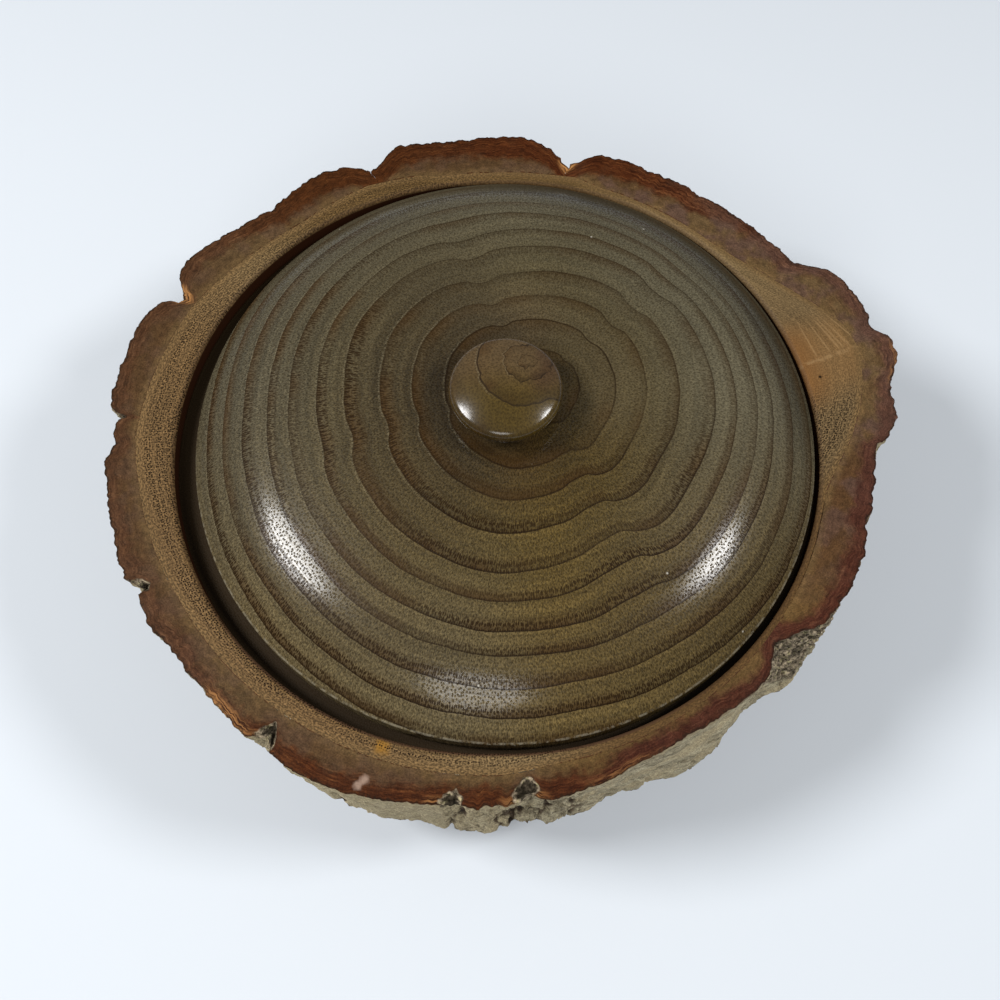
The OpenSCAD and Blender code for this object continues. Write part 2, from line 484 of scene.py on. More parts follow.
class RingCount(Effect):
    """Counts the growth rings outwards from the pith, which leans through the log."""

    name = "ring_count"
    inputs = {"Place": "Vector"}
    outputs = {"Count": "Float", "Reach": "Float", "Around": "Vector"}
    # Where the pith comes up through the lid's dome, in mm, and how it leans with height
    pith: Point = (7.26, 3.71)
    pith_height = 73.4
    pith_lean: Point = (-0.1, 0.12)
    # How far out the rings bulge, by direction from the pith: degrees, share
    bulge: tuple[Point, ...] = (
        (-180, 0.985), (-172, 0.97), (-165, 0.95), (-158, 0.985), (-145, 1.0), (-125, 1.01), (-105, 1.0),
        (-90, 0.96), (-77, 0.92), (-67, 0.875), (-62, 0.87), (-55, 0.92), (-45, 0.955), (-30, 0.935),
        (-15, 0.95), (0, 0.97), (20, 0.985), (35, 1.0), (45, 0.96), (55, 1.0), (75, 0.98), (90, 0.96),
        (103, 0.94), (110, 0.91), (117, 0.97), (130, 1.02), (150, 1.035), (165, 1.01), (180, 0.985),
    )
    # The same further out, where the rings even out
    outer_bulge: tuple[Point, ...] = (
        (-180, 0.975), (-140, 0.985), (-105, 0.97), (-80, 0.935), (-60, 0.915), (-40, 0.905), (-20, 0.885),
        (0, 0.875), (20, 0.87), (45, 0.88), (90, 0.93), (120, 0.97), (150, 1.0), (180, 0.975),
    )
    # Rings counted outwards from the pith: distance in mm, count
    counts: tuple[Point, ...] = (
        (0, 0), (2, 1), (5, 2), (10.7, 3), (18.8, 4), (25.8, 5), (33, 6), (41.3, 7), (47.5, 8), (54, 9),
        (59, 10), (65, 11), (70, 12), (74.5, 13), (80, 14), (90, 16),
    )

    def draw(self, graph: Graph, given: Any) -> dict[str, Any]:
        """Add the group's nodes.

        Args:
            graph: The group's own tree.
            given: Object coordinates in mm.

        Returns:
            The count, the distance from the pith in mm, and the direction from it.
        """
        far = 90.0
        most = 16.0
        widest = 1.1
        height = graph.minus(graph.split(given["Place"])[2], self.pith_height)
        lean = graph.scale((*self.pith_lean, 0.0), height)
        from_pith = graph.vector("SUBTRACT", given["Place"], (*self.pith, 0.0))
        flat = graph.flat(graph.vector("SUBTRACT", from_pith, lean))
        reach = graph.vector("LENGTH", flat)
        x, y, _ = graph.split(flat)
        turned = graph.plus(graph.math("DIVIDE", graph.math("ARCTAN2", y, x), FULL_TURN), 0.5)
        inner, outer = (
            graph.curve(turned, [(degrees / 360 + 0.5, share / widest) for degrees, share in table])
            for table in (self.bulge, self.outer_bulge)
        )
        evened = graph.step(reach, 34.0, 58.0)
        bulge = graph.plus(inner, graph.times(evened, graph.minus(outer, inner)))
        even = graph.math("DIVIDE", reach, graph.times(bulge, widest))
        slow = graph.swing(graph.scale(flat, 0.06), 1.0)
        quick = graph.swing(graph.scale(flat, 0.4), 2.0)
        crumpled = graph.swing(graph.scale(flat, 0.42), 1.5)
        crumpled = graph.times(crumpled, graph.step(reach, 13.0, 4.0), 3.0)
        loose = graph.spread(graph.step(reach, 8.0, 20.0), 0.15, 0.35)
        even = graph.plus(even, crumpled, graph.times(slow, 1.2), graph.times(quick, loose))
        counted = graph.curve(graph.math("DIVIDE", even, far), [(d / far, n / most) for d, n in self.counts])
        count = graph.times(counted, most)
        return {"Count": count, "Reach": reach, "Around": graph.vector("NORMALIZE", flat)}


class GrowthRings(Effect):
    """Growth rings by count: radial ticks at a ring's end, a dark and a pale line, soft bands, flecks."""

    name = "growth_rings"
    inputs = {"Count": "Float", "Around": "Vector", "Reach": "Float"}
    outputs = {
        "Band": "Float", "Line": "Float", "Pale": "Float",
        "Ticks": "Float", "Soft": "Float", "Fleck": "Float",
    }
    # Ticks: their pitch round a ring in mm, rows of them to a ring at the back and at the front, where they
    # are shorter, which side the front is, rows kept free for each ring, and a ring's usual width
    tick_pitch = 0.46
    tick_rows = 3.0
    front_rows = 5.0
    front_side = (285.0, 85.0)
    ring_rows = 8.0
    ring_width = 5.8
    # Flecks keep their pitch by starting afresh in each zone outwards, so many mm wide
    fleck_pitch = 0.21
    fleck_length = 0.45
    zone = 6.0

    def drawn_out(self, graph: Graph, given: Any, pitch: float, length: float, detail: float) -> Any:
        """Noise drawn out along the wood's rays.

        Args:
            graph: The group's own tree.
            given: The group's inputs.
            pitch: A lump's width across the rays, in mm.
            length: Its length along them.
            detail: Blender's level of detail.

        Returns:
            The noise.
        """
        zone_count = graph.math("CEIL", graph.math("DIVIDE", given["Reach"], self.zone))
        arc_place = graph.scale(given["Around"], graph.times(zone_count, self.zone))
        outward = graph.join(0.0, 0.0, given["Reach"])
        bend_place = graph.vector("ADD", graph.scale(arc_place, 0.5), outward)
        bend = graph.times(graph.swing(bend_place), 2.5)
        along = graph.join(bend, 0.0, graph.math("DIVIDE", given["Reach"], length))
        return graph.noise(graph.vector("ADD", graph.scale(arc_place, 1 / pitch), along), detail, 0.6)

    def dashes(self, graph: Graph, given: Any, ring: Any) -> Any:
        """Short dashes along the rays, in rows round each ring.

        Args:
            graph: The group's own tree.
            given: The group's inputs.
            ring: Whole rings counted.

        Returns:
            The dashes, as a mask.
        """
        x, y, _ = graph.split(given["Around"])
        round_ring = graph.times(graph.plus(ring, 1.0), self.ring_width / self.tick_pitch)
        along = graph.times(graph.math("ARCTAN2", y, x), round_ring)
        unevenness = graph.noise(graph.join(graph.times(along, 0.3), given["Count"], 0.0), 1.0)
        rows = graph.spread(graph.facing(given["Around"], *self.front_side), self.tick_rows, self.front_rows)
        left = graph.minus(graph.math("FRACT", given["Count"]), 1.0)
        row = graph.minus(graph.times(left, rows), 0.45)
        row = graph.plus(row, graph.times(ring, self.ring_rows))
        row = graph.plus(row, graph.times(graph.minus(unevenness, 0.5), 0.7))
        away = graph.cells(graph.join(along, row, 0.0), stray=0.6, level="2D")
        return graph.step(away, 0.45, 0.3)

    def draw(self, graph: Graph, given: Any) -> dict[str, Any]:
        """Add the group's nodes.

        Args:
            graph: The group's own tree.
            given: Ring count, direction from the pith, and distance from it in mm.

        Returns:
            The late band, the dark line, the pale line, the ticks, soft bands within the rings, and flecks.
        """
        part = graph.math("FRACT", given["Count"])
        ring = graph.math("FLOOR", given["Count"])
        fleck = self.drawn_out(graph, given, self.fleck_pitch, self.fleck_length, 3.0)
        ending = graph.step(part, 1.0, 0.985)

        # Each ring is stronger in some directions than in others
        own = graph.join(0.0, 0.0, graph.times(ring, 3.7))
        strong = graph.noise(graph.vector("ADD", graph.scale(given["Around"], 0.9), own), 1.0)
        strong = graph.step(strong, 0.3, 0.62)
        band = graph.times(graph.step(part, 0.4, 1.0), ending)
        dashes = self.dashes(graph, given, ring)
        ticks = graph.times(dashes, graph.spread(graph.step(part, 0.55, 0.7), 0.22, 1.0))
        ticks = graph.times(ticks, ending, graph.spread(strong, 0.45, 1.0))
        line = graph.times(graph.step(part, 0.93, 0.955), ending)
        line = graph.times(line, graph.spread(strong, 0.55, 1.0))
        pale = graph.times(graph.step(part, 0.0, 0.012), graph.step(part, 0.07, 0.03))
        pale = graph.times(pale, graph.step(fleck, 0.42, 0.6))
        within = graph.join(0.0, 0.0, graph.times(given["Count"], 4.5))
        soft = graph.noise(graph.vector("ADD", graph.scale(given["Around"], 1.3), within), 2.0, 0.55)
        return {"Band": band, "Line": line, "Pale": pale, "Ticks": ticks, "Soft": soft, "Fleck": fleck}


class Pores(Effect):
    """Open pores of the wood, as small dark pits."""

    name = "pores"
    inputs = {"Cell": "Vector", "Reach": "Float", "Stray": "Float"}
    outputs = {"Pore": "Float"}

    def draw(self, graph: Graph, given: Any) -> dict[str, Any]:
        """Add the group's nodes.

        Args:
            graph: The group's own tree.
            given: A place with one pore to each unit, a pore's reach in those units, and how far it strays.

        Returns:
            The pores, as a mask.
        """
        middle = graph.cells(given["Cell"], stray=given["Stray"], level="2D")
        core = graph.times(given["Reach"], 0.6)
        return {"Pore": graph.step(middle, given["Reach"], core)}


class Handling(Effect):
    """Marks of handling: smudges in the polish, and specks of dust."""

    name = "handling"
    inputs = {"Place": "Vector", "Speck": "Float"}
    outputs = {"Smudge": "Float", "Dust": "Float", "Grain": "Float"}

    def draw(self, graph: Graph, given: Any) -> dict[str, Any]:
        """Add the group's nodes.

        Args:
            graph: The group's own tree.
            given: Object coordinates in mm, and the share of cells that hold a speck.

        Returns:
            Smudges, dust and a fine even grain.
        """
        smudge = graph.noise(graph.scale(given["Place"], 0.09), 3.0, 0.6)
        cell = graph.add("ShaderNodeTexVoronoi", {"Vector": given["Place"], "Scale": 0.55})
        chance = graph.math("LESS_THAN", graph.split(cell.outputs["Color"])[0], given["Speck"])
        speck = graph.step(cell.outputs["Distance"], 0.2, 0.08)
        grain = graph.step(graph.noise(graph.scale(given["Place"], 3.0), 1.0, 0.6), 0.28, 0.72)
        return {"Smudge": smudge, "Dust": graph.times(speck, chance), "Grain": grain}


@dataclass(frozen=True)
class Effects:
    """The shared effects."""

    count: RingCount
    rings: GrowthRings
    pores: Pores
    handling: Handling


@dataclass(frozen=True)
class LidWood:
    """Waxed heartwood of the lid: olive early wood, brown late bands, and a more golden knob."""

    effects: Effects
    early: Colour = tone(0.074, 0.053, 0.0165)
    russet: Colour = tone(0.072, 0.036, 0.013)
    shade: Colour = tone(0.05, 0.038, 0.02)
    grey: Colour = tone(0.104, 0.09, 0.055)
    pale: Colour = tone(0.12, 0.104, 0.064)
    warm: Colour = tone(0.09, 0.055, 0.01)
    late: Colour = tone(0.06, 0.028, 0.006)
    tick: Colour = tone(0.018, 0.0085, 0.002)
    ring_end: Colour = tone(0.012, 0.006, 0.002)
    # Painted glint on the edge of each ring, on the side facing the left lamp
    ring_glint: Colour = tone(0.2, 0.165, 0.1)
    knob_back: Colour = tone(0.094, 0.058, 0.023)
    knob_front: Colour = tone(0.068, 0.042, 0.006)
    # Pale of the worn arris, which also stands in for its painted highlight at the front
    wear_and_glint: Colour = tone(0.3, 0.27, 0.2)
    blush: Colour = tone(0.05, 0.02, 0.011)
    dust: Colour = tone(0.45, 0.42, 0.36)
    # What the bare wood throws back on Blender's scale, and how sharp its wax is
    gloss: float = 0.06
    wax_roughness: float = 0.175
    # Strength of its fine relief, and the relief's depth in mm
    bump: float = 0.4
    bump_depth: float = 0.07
    # Sides of the lid and the knob, seen from the pith
    quiet_side: Sector = (60.0, 105.0)
    sparkling_side: Sector = (240.0, 120.0)
    lit_side: Sector = (178.0, 62.0)
    front_side: Sector = (275.0, 75.0)
    lined_side: Sector = (240.0, 140.0)
    rear_side: Sector = (50.0, 110.0)
    golden_side: Sector = (225.0, 50.0)
    # Where painted shade darkens the lid's outer band most, at the back right
    rim_shade_side: Sector = (45.0, 70.0)
    # Where painted sheen lightens the lid's front edge
    front_sheen_side: Sector = (255.0, 55.0)
    # Where the knob's painted shadow falls on the dome
    knob_shadow_side: Sector = (210.0, 110.0)
    dim_right_side: Sector = (318.0, 42.0)
    dim_back_side: Sector = (50.0, 45.0)
    knob_shaded_side: Sector = (190.0, 90.0)
    knob_blushed_side: Sector = (350.0, 90.0)

    def material(self, knob_height: float) -> bpy.types.Material:
        """Build the finish.

        Args:
            knob_height: Height at which the knob starts, in mm.

        Returns:
            The material.
        """
        finish, graph, shader = new_finish("waxed_heartwood")
        place = graph.place()
        counted = self.effects.count.put(graph, place=place)
        reach = counted["Reach"]
        rings = self.effects.rings.put(graph, count=counted["Count"], around=counted["Around"], reach=reach)
        handled = self.effects.handling.put(graph, place=place, speck=0.004)
        pores = self.effects.pores.put(graph, cell=graph.scale(place, 1.5), reach=0.4, stray=0.95)["Pore"]
        _, y, z = graph.split(place)
        knob = graph.step(z, knob_height + 1.5, knob_height + 3.5)
        dome = graph.minus(1.0, knob)
        colour = self.colour(graph, place, counted, rings, knob, handled["Grain"])
        colour = graph.tint(colour, self.ring_end, pores, 0.3)
        colour = graph.tint(colour, self.dust, handled["Dust"], 0.8)
        # The arris: partly real wear, partly a painted highlight, laid only along the front, where the front
        # lamp lights the rounded edge
        rubbed = graph.step(graph.clouds(place, 0.7, 3.0, 0.65), 0.4, 0.6)
        wear_and_glint = graph.times(graph.step(graph.attribute("arris"), 0.5, 1.0), rubbed)
        wear_and_glint = graph.times(wear_and_glint, graph.step(y, 10.0, -35.0))
        colour = graph.tint(colour, self.wear_and_glint, wear_and_glint, 0.4)
        graph.plug(shader.inputs["Base Color"], colour)
        graph.plug(shader.inputs["Roughness"], graph.spread(handled["Smudge"], 0.34, 0.5))
        shader.inputs["Specular IOR Level"].default_value = self.gloss

        # The wax fills neither pores nor ticks, and is scored by the turning
        turning = graph.attribute("turning")
        groove = graph.noise(graph.join(graph.times(turning, 1.8), 0.0, 0.0), 4.0, 0.6)
        scored = graph.spread(graph.step(groove, 0.36, 0.62), 0.45, 1.0)
        broken = graph.times(graph.step(rings["Fleck"], 0.54, 0.62), 0.55)
        marks = graph.most(rings["Ticks"], rings["Line"])
        bare = graph.most(pores, graph.times(marks, 0.9))
        bare = graph.times(graph.most(bare, broken), 0.95)
        wax = graph.minus(1.0, graph.times(bare, graph.spread(knob, 1.0, 0.35)))
        wax = graph.times(wax, graph.most(scored, knob))
        wax = graph.times(wax, graph.spread(handled["Smudge"], 0.65, 1.25))
        dulled = graph.times(graph.step(turning, 60.0, 67.0), graph.step(y, -30.0, 10.0))
        wax = graph.times(wax, graph.spread(dulled, 1.0, 0.3))
        graph.plug(shader.inputs["Coat Weight"], graph.math("MINIMUM", wax, 1.0))
        shader.inputs["Coat Roughness"].default_value = self.wax_roughness

        relief = graph.plus(graph.times(pores, -1.0), graph.times(groove, 0.5))
        relief = graph.plus(relief, graph.times(handled["Grain"], 0.25))
        relief = graph.times(relief, graph.spread(dome, 0.12, 1.0))
        graph.roughen(shader, relief, self.bump, self.bump_depth)
        return finish

    def colour(self, graph: Graph, place: Any, counted: Any, rings: Any, knob: Any, grain: Any) -> Any:
        """Colour the wood ring by ring.

        Args:
            graph: The material's tree.
            place: Object coordinates in mm.
            counted: What the ring count puts out.
            rings: What the growth rings put out.
            knob: The knob, as a mask.
            grain: A fine even grain.

        Returns:
            The colour, without pores, dust, and the arris's wear and painted highlight.
        """
        around = counted["Around"]
        centre = graph.step(counted["Reach"], 36.0, 14.0)
        colour = self.ground(graph, place, counted, centre)
        colour = self.on_knob(graph, place, counted, knob, colour)
        plain = graph.spread(knob, 1.0, 0.45)
        quiet = graph.facing(around, *self.quiet_side)
        sparkling = graph.times(graph.spread(graph.facing(around, *self.sparkling_side), 0.34, 0.5), plain)
        fleck = graph.spread(graph.step(rings["Fleck"], 0.34, 0.66), -1.0, 1.0)
        fleck = graph.times(fleck, sparkling)
        even = graph.times(plain, graph.spread(quiet, 1.0, 0.6))
        soft = graph.times(graph.spread(rings["Soft"], -0.55, 0.55), even)
        colour = graph.shade(colour, graph.plus(fleck, 1.0), graph.plus(soft, 1.0))
        colour = graph.shade(colour, graph.spread(grain, 0.88, 1.12))
        reddened = graph.noise(graph.vector("ADD", graph.scale(place, 0.05), graph.scale(around, 0.4)), 2.0)
        red = graph.times(rings["Band"], graph.spread(graph.step(reddened, 0.42, 0.6), 0.15, 0.75))
        red = graph.times(red, graph.spread(quiet, 1.0, 0.55))
        colour = graph.mix(red, colour, self.late)
        # Painted glint: a pale line at each ring's start, and weaker dark lines, on the side facing the left
        # lamp
        lit = graph.facing(around, *self.lit_side)
        colour = graph.tint(colour, self.ring_glint, rings["Pale"], graph.times(lit, 0.42))
        ahead = graph.facing(around, *self.front_side)
        deepened = graph.times(rings["Band"], graph.most(graph.times(quiet, 0.5), ahead))
        colour = graph.shade(colour, graph.spread(deepened, 1.0, 0.72))
        ticked = graph.times(graph.spread(centre, 0.96, 0.3), graph.spread(quiet, 1.0, 0.34), plain)
        colour = graph.tint(colour, self.tick, rings["Ticks"], ticked)
        lined = graph.spread(graph.facing(around, *self.lined_side), 0.45, 0.8)
        lined = graph.most(graph.times(lined, graph.spread(lit, 1.0, 0.6)), graph.times(centre, 0.8))
        return graph.tint(colour, self.ring_end, rings["Line"], lined)

    def ground(self, graph: Graph, place: Any, counted: Any, centre: Any) -> Any:
        """Colour the wood between the rings, by where it lies on the lid, with painted shade and sheen on its
        edge and round the knob.

        Args:
            graph: The material's tree.
            place: Object coordinates in mm.
            counted: What the ring count puts out.
            centre: The lid's middle, as a mask.

        Returns:
            The colour.
        """
        reach = counted["Reach"]
        around = counted["Around"]
        x, _, _ = graph.split(around)
        turning = graph.attribute("turning")
        left = graph.times(graph.step(x, 0.1, -0.7), graph.spread(graph.step(reach, 34.0, 48.0), 0.75, 0.38))
        right = graph.times(graph.step(x, 0.1, 0.8), graph.step(reach, 22.0, 44.0))
        rear = graph.times(graph.facing(around, *self.rear_side), graph.step(reach, 4.0, 16.0))
        front = graph.step(graph.split(place)[1], 10.0, -45.0)
        golden = graph.times(front, graph.spread(graph.facing(around, *self.golden_side), 0.75, 0.4))
        reddish = graph.times(centre, graph.spread(graph.step(x, -0.2, 0.6), 0.6, 0.25))
        colour = graph.mix(reddish, self.early, self.russet)
        colour = graph.mix(graph.step(reach, 22.0, 66.0), colour, self.grey)
        colour = graph.tint(colour, self.grey, rear, 0.34)
        colour = graph.mix(left, colour, self.shade)
        colour = graph.tint(colour, self.pale, right, 0.7)
        colour = graph.mix(golden, colour, self.warm)
        # Painted shade on the outer band away from the front, where the dome turns down out of the light,
        # deepest at the back right
        rim = graph.times(graph.step(turning, 57.0, 66.0), graph.step(front, 0.5, 0.0))
        # Painted shade, with some dirt, darkening the dome close round the knob's foot
        close = graph.step(turning, 26.0, 12.0)
        rim_shade = graph.spread(graph.facing(around, *self.rim_shade_side), 0.88, 0.48)
        # Painted sheen: the outer band at the front is lightened, where the wax catches the front lamp at a
        # grazing angle
        front_sheen = graph.times(graph.step(turning, 56.0, 66.0), graph.facing(around, *self.front_sheen_side))
        # Painted shadow that the knob casts on the dome towards the left and the front
        knob_shadow = graph.times(centre, graph.facing(around, *self.knob_shadow_side))
        colour = graph.shade(colour, graph.spread(rim, 1.0, rim_shade), graph.spread(knob_shadow, 1.0, 0.85))
        colour = graph.shade(colour, graph.spread(close, 1.0, 0.66), graph.spread(front_sheen, 1.0, 1.3))
        dimmed = graph.facing(around, *self.dim_right_side)
        dimmed = graph.most(dimmed, graph.facing(around, *self.dim_back_side))
        return graph.shade(colour, graph.spread(dimmed, 1.0, 0.88))

    def on_knob(self, graph: Graph, place: Any, counted: Any, knob: Any, colour: Any) -> Any:
        """Colour the knob over the lid's own colour.

        Args:
            graph: The material's tree.
            place: Object coordinates in mm.
            counted: What the ring count puts out.
            knob: The knob, as a mask.
            colour: The lid's colour.

        Returns:
            The colour with the knob's.
        """
        reach = counted["Reach"]
        around = counted["Around"]
        pinch = graph.mix(graph.step(graph.split(place)[1], 6.0, -5.0), self.knob_back, self.knob_front)
        colour = graph.tint(colour, pinch, knob, 0.9)
        shaded = graph.times(graph.facing(around, *self.knob_shaded_side), graph.step(reach, 9.0, 20.0))
        colour = graph.shade(colour, graph.spread(graph.times(shaded, knob), 1.0, 0.72))
        blushed = graph.times(graph.facing(around, *self.knob_blushed_side), graph.step(reach, 1.0, 4.0))
        blushed = graph.times(blushed, knob, graph.step(reach, 9.0, 5.0))
        return graph.tint(colour, self.blush, blushed, 0.45)


@dataclass(frozen=True)
class BowlWood:
    """Oiled wood of the bowl: tan outer wood on the rim, darker in the seat and the hollow."""

    effects: Effects
    tan: Colour = tone(0.182, 0.122, 0.055)
    ochre: Colour = tone(0.138, 0.079, 0.031)
    meeting: Colour = tone(0.128, 0.077, 0.031)
    gold: Colour = tone(0.172, 0.096, 0.036)
    ray: Colour = tone(0.32, 0.2, 0.09)
    amber: Colour = tone(0.175, 0.077, 0.022)
    umber: Colour = tone(0.124, 0.08, 0.036)
    smooth: Colour = tone(0.078, 0.041, 0.014)
    shaded: Colour = tone(0.1, 0.058, 0.02)
    dark: Colour = tone(0.03, 0.018, 0.009)
    # Painted shade on the rounded lip at the front
    lip_shade: Colour = tone(0.09, 0.048, 0.026)
    ledge: Colour = tone(0.026, 0.016, 0.007)
    wall: Colour = tone(0.03, 0.01, 0.004)
    pore: Colour = tone(0.012, 0.006, 0.002)
    stain: Colour = tone(0.27, 0.13, 0.018)
    gloss: float = 0.08
    # Strength of its fine relief, and the relief's depth in mm
    bump: float = 0.5
    bump_depth: float = 0.1
    # The branch knot on the rim: where its pale streak starts, which way it runs, where its rays fan from,
    # and the small hole beside it
    knot: Point = (70.0, 17.9)
    knot_angle: float = 21.7
    fan: Point = (63.5, 47.0)
    hole: Point = (74.2, 15.1)
    # Orange stain by the seat
    stained: Point = (-23.0, -69.0)
    # Sides of the rim
    # Where painted shade darkens the lip
    lip_shade_side: Sector = (258.0, 55.0)
    oiled_side: Sector = (316.0, 42.0)
    calm_side: Sector = (52.0, 52.0)
    back_side: Sector = (110.0, 50.0)
    # Tones that sides of the rim take
    sides: tuple[Side, ...] = (
        Side(205.0, 75.0, 0.85, ochre),
        Side(352.0, 50.0, 0.85, umber),
        Side(100.0, 46.0, 0.95, shaded),
    )

    def material(self) -> bpy.types.Material:
        """Build the finish.

        Returns:
            The material.
        """
        finish, graph, shader = new_finish("oiled_outer_wood")
        place = graph.place()
        depth = graph.attribute("depth")
        hollow = graph.attribute("hollow")
        seat = graph.attribute("seat")
        counted = self.effects.count.put(graph, place=place)
        rings = self.effects.rings.put(
            graph, count=counted["Count"], around=counted["Around"], reach=counted["Reach"]
        )
        handled = self.effects.handling.put(graph, place=place, speck=0.003)
        colour, pores, fine = self.rim_colour(graph, place, depth, handled["Grain"])
        way = graph.vector("NORMALIZE", graph.flat(place))
        # Painted shade on the rounded lip at the front, which faces away from the front lamp
        lip_shade_mask = graph.spread(graph.facing(way, *self.lip_shade_side), 0.3, 1.0)
        lip = graph.times(graph.step(seat, 0.0, 0.25), lip_shade_mask)
        colour = graph.mix(lip, colour, graph.mix(pores, self.lip_shade, self.pore))
        turned = graph.mix(graph.times(rings["Band"], 0.6), self.umber, self.dark)
        turned = graph.tint(turned, self.pore, rings["Line"], 0.7)
        colour = graph.mix(hollow, colour, turned)
        colour = graph.mix(graph.step(seat, 0.25, 0.5), colour, self.wall)
        colour = graph.mix(graph.step(seat, 0.5, 1.0), colour, self.ledge)
        graph.plug(shader.inputs["Base Color"], colour)

        shader.inputs["Specular IOR Level"].default_value = self.gloss
        rough = graph.spread(handled["Smudge"], 0.42, 0.6)
        graph.plug(shader.inputs["Roughness"], graph.plus(rough, graph.times(pores, 0.2)))
        relief = graph.plus(graph.times(pores, -1.0), graph.times(fine, 0.3))
        graph.roughen(shader, relief, self.bump, self.bump_depth)
        return finish

    def rim_colour(self, graph: Graph, place: Any, depth: Any, grain: Any) -> tuple[Any, Any, Any]:
        """Colour the wood on the rim.

        Args:
            graph: The material's tree.
            place: Object coordinates in mm.
            depth: Distance in from the cambium, in mm.
            grain: A fine even grain.

        Returns:
            The colour, the pores, and the fine grain along the cambium.
        """
        flat = graph.flat(place)
        way = graph.vector("NORMALIZE", flat)
        pores, fine, rows = self.rim_pores(graph, place, depth)
        knot, streak = self.knot_masks(graph, flat)
        oiled = graph.facing(way, *self.oiled_side)

        tint = graph.step(graph.clouds(place, 0.07, 3.0, 0.6), 0.35, 0.75)
        colour = graph.mix(graph.times(tint, 0.5), self.tan, self.umber)
        colour = graph.by_side(colour, way, self.sides)
        colour = graph.tint(colour, self.gold, knot, 0.85)
        colour = graph.tint(colour, self.meeting, graph.step(depth, 2.2, 0.1), 0.9)
        colour = graph.tint(colour, self.smooth, oiled, 0.85)
        calm = graph.facing(way, *self.calm_side)
        contrast = graph.spread(graph.most(oiled, knot), 0.5, 0.32)
        contrast = graph.times(contrast, graph.spread(calm, 1.0, 0.5))
        grained = graph.times(graph.spread(graph.step(fine, 0.36, 0.66), -1.0, 1.0), contrast)
        colour = graph.shade(colour, graph.plus(grained, 1.0), graph.spread(rows, 0.65, 1.35))
        colour = graph.shade(colour, graph.spread(grain, 0.85, 1.15))
        amber = graph.times(knot, graph.step(graph.vector("LENGTH", flat), 80.0, 72.0))
        colour = graph.tint(colour, self.amber, amber, 0.7)
        colour = graph.tint(colour, self.ray, streak, 0.45)
        stain = graph.times(self.spot(graph, flat, self.stained, 2.6), 0.8)
        colour = graph.mix(stain, colour, self.stain)
        bare = graph.minus(1.0, graph.most(oiled, graph.times(knot, 0.8)))
        bare = graph.times(bare, graph.spread(calm, 1.0, 0.25))
        back = graph.facing(way, *self.back_side)
        bare = graph.times(bare, graph.spread(back, 1.0, 0.6))
        pores = graph.times(pores, graph.spread(bare, 0.08, 1.0))
        colour = graph.mix(pores, colour, self.pore)
        colour = graph.mix(self.spot(graph, flat, self.hole, 0.6), colour, self.pore)
        return colour, pores, fine

    def rim_pores(self, graph: Graph, place: Any, depth: Any) -> tuple[Any, Any, Any]:
        """Lay rows of pores and a fine grain along the cambium.

        Args:
            graph: The material's tree.
            place: Object coordinates in mm.
            depth: Distance in from the cambium, in mm.

        Returns:
            The pores, the fine grain, and the rows that both lie in.
        """
        pitch = 0.56
        rim_radius = 76.0
        x, y, _ = graph.split(place)
        along = graph.times(graph.math("ARCTAN2", y, x), rim_radius / pitch)
        sway = graph.times(graph.clouds(place, 0.1, 2.0), 1.6)
        row = graph.plus(graph.math("DIVIDE", depth, pitch), sway)
        pores = self.effects.pores.put(graph, cell=graph.join(along, row, 0.0), reach=0.4, stray=0.6)["Pore"]
        laid = graph.noise(graph.join(graph.times(along, 0.03), graph.times(row, 0.55), 4.0), 1.0)
        sparse = graph.step(graph.clouds(place, 0.9, 2.0), 0.2, 0.4)
        sparse = graph.times(sparse, graph.spread(graph.step(laid, 0.42, 0.54), 0.5, 1.0))
        pores = graph.times(pores, sparse, graph.step(depth, 0.6, 2.6))
        fine_place = graph.scale(graph.join(graph.times(along, 0.5), row, 0.0), 1.8)
        fine = graph.noise(fine_place, 2.0, 0.6)
        rows = graph.noise(graph.join(graph.times(along, 0.03), graph.times(row, 0.6), 0.0), 2.0)
        return pores, fine, rows

    @staticmethod
    def spot(graph: Graph, flat: Any, middle: Point, reach: float) -> Any:
        """Mark one small ragged spot.

        Args:
            graph: The material's tree.
            flat: Object coordinates in mm, with no height.
            middle: The spot's middle, in mm.
            reach: Its reach, in mm.

        Returns:
            The spot, as a mask.
        """
        away = graph.vector("DISTANCE", flat, (*middle, 0.0))
        ragged = graph.plus(away, graph.times(graph.noise(flat, 2.0), reach * 0.8))
        return graph.step(ragged, reach * 1.3, reach * 0.6)

    def knot_masks(self, graph: Graph, flat: Any) -> tuple[Any, Any]:
        """Mark the branch knot on the rim.

        Args:
            graph: The material's tree.
            flat: Object coordinates in mm, with no height.

        Returns:
            The knot's wood, and the pale streak and rays in it.
        """
        turn = math.radians(self.knot_angle)
        x, y, _ = graph.split(graph.vector("SUBTRACT", flat, (*self.knot, 0.0)))
        cos, sin = math.cos(turn), math.sin(turn)
        run = graph.plus(graph.times(x, cos), graph.times(y, sin))
        side = graph.minus(graph.times(y, cos), graph.times(x, sin))
        waver = graph.swing(graph.scale(flat, 0.7), 2.0)
        aside = graph.math("ABSOLUTE", graph.plus(side, waver))
        near = graph.step(run, -6.0, -1.0)
        streak = graph.times(graph.step(aside, 0.9, 0.1), graph.step(run, 16.0, 12.0))
        streak = graph.times(streak, near, graph.step(waver, -0.12, 0.1))
        fan_x, fan_y, _ = graph.split(graph.vector("SUBTRACT", flat, (*self.fan, 0.0)))
        fan = graph.times(graph.math("ARCTAN2", fan_y, fan_x), 34.0)
        rays = graph.step(graph.noise(graph.join(fan, graph.times(run, 0.02), 0.0), 0.0), 0.6, 0.68)
        rays = graph.times(rays, graph.step(side, 0.2, 2.0), graph.step(side, 13.0, 7.0), 0.8, near)
        return graph.times(graph.step(aside, 14.0, 4.0), near), graph.most(streak, rays)


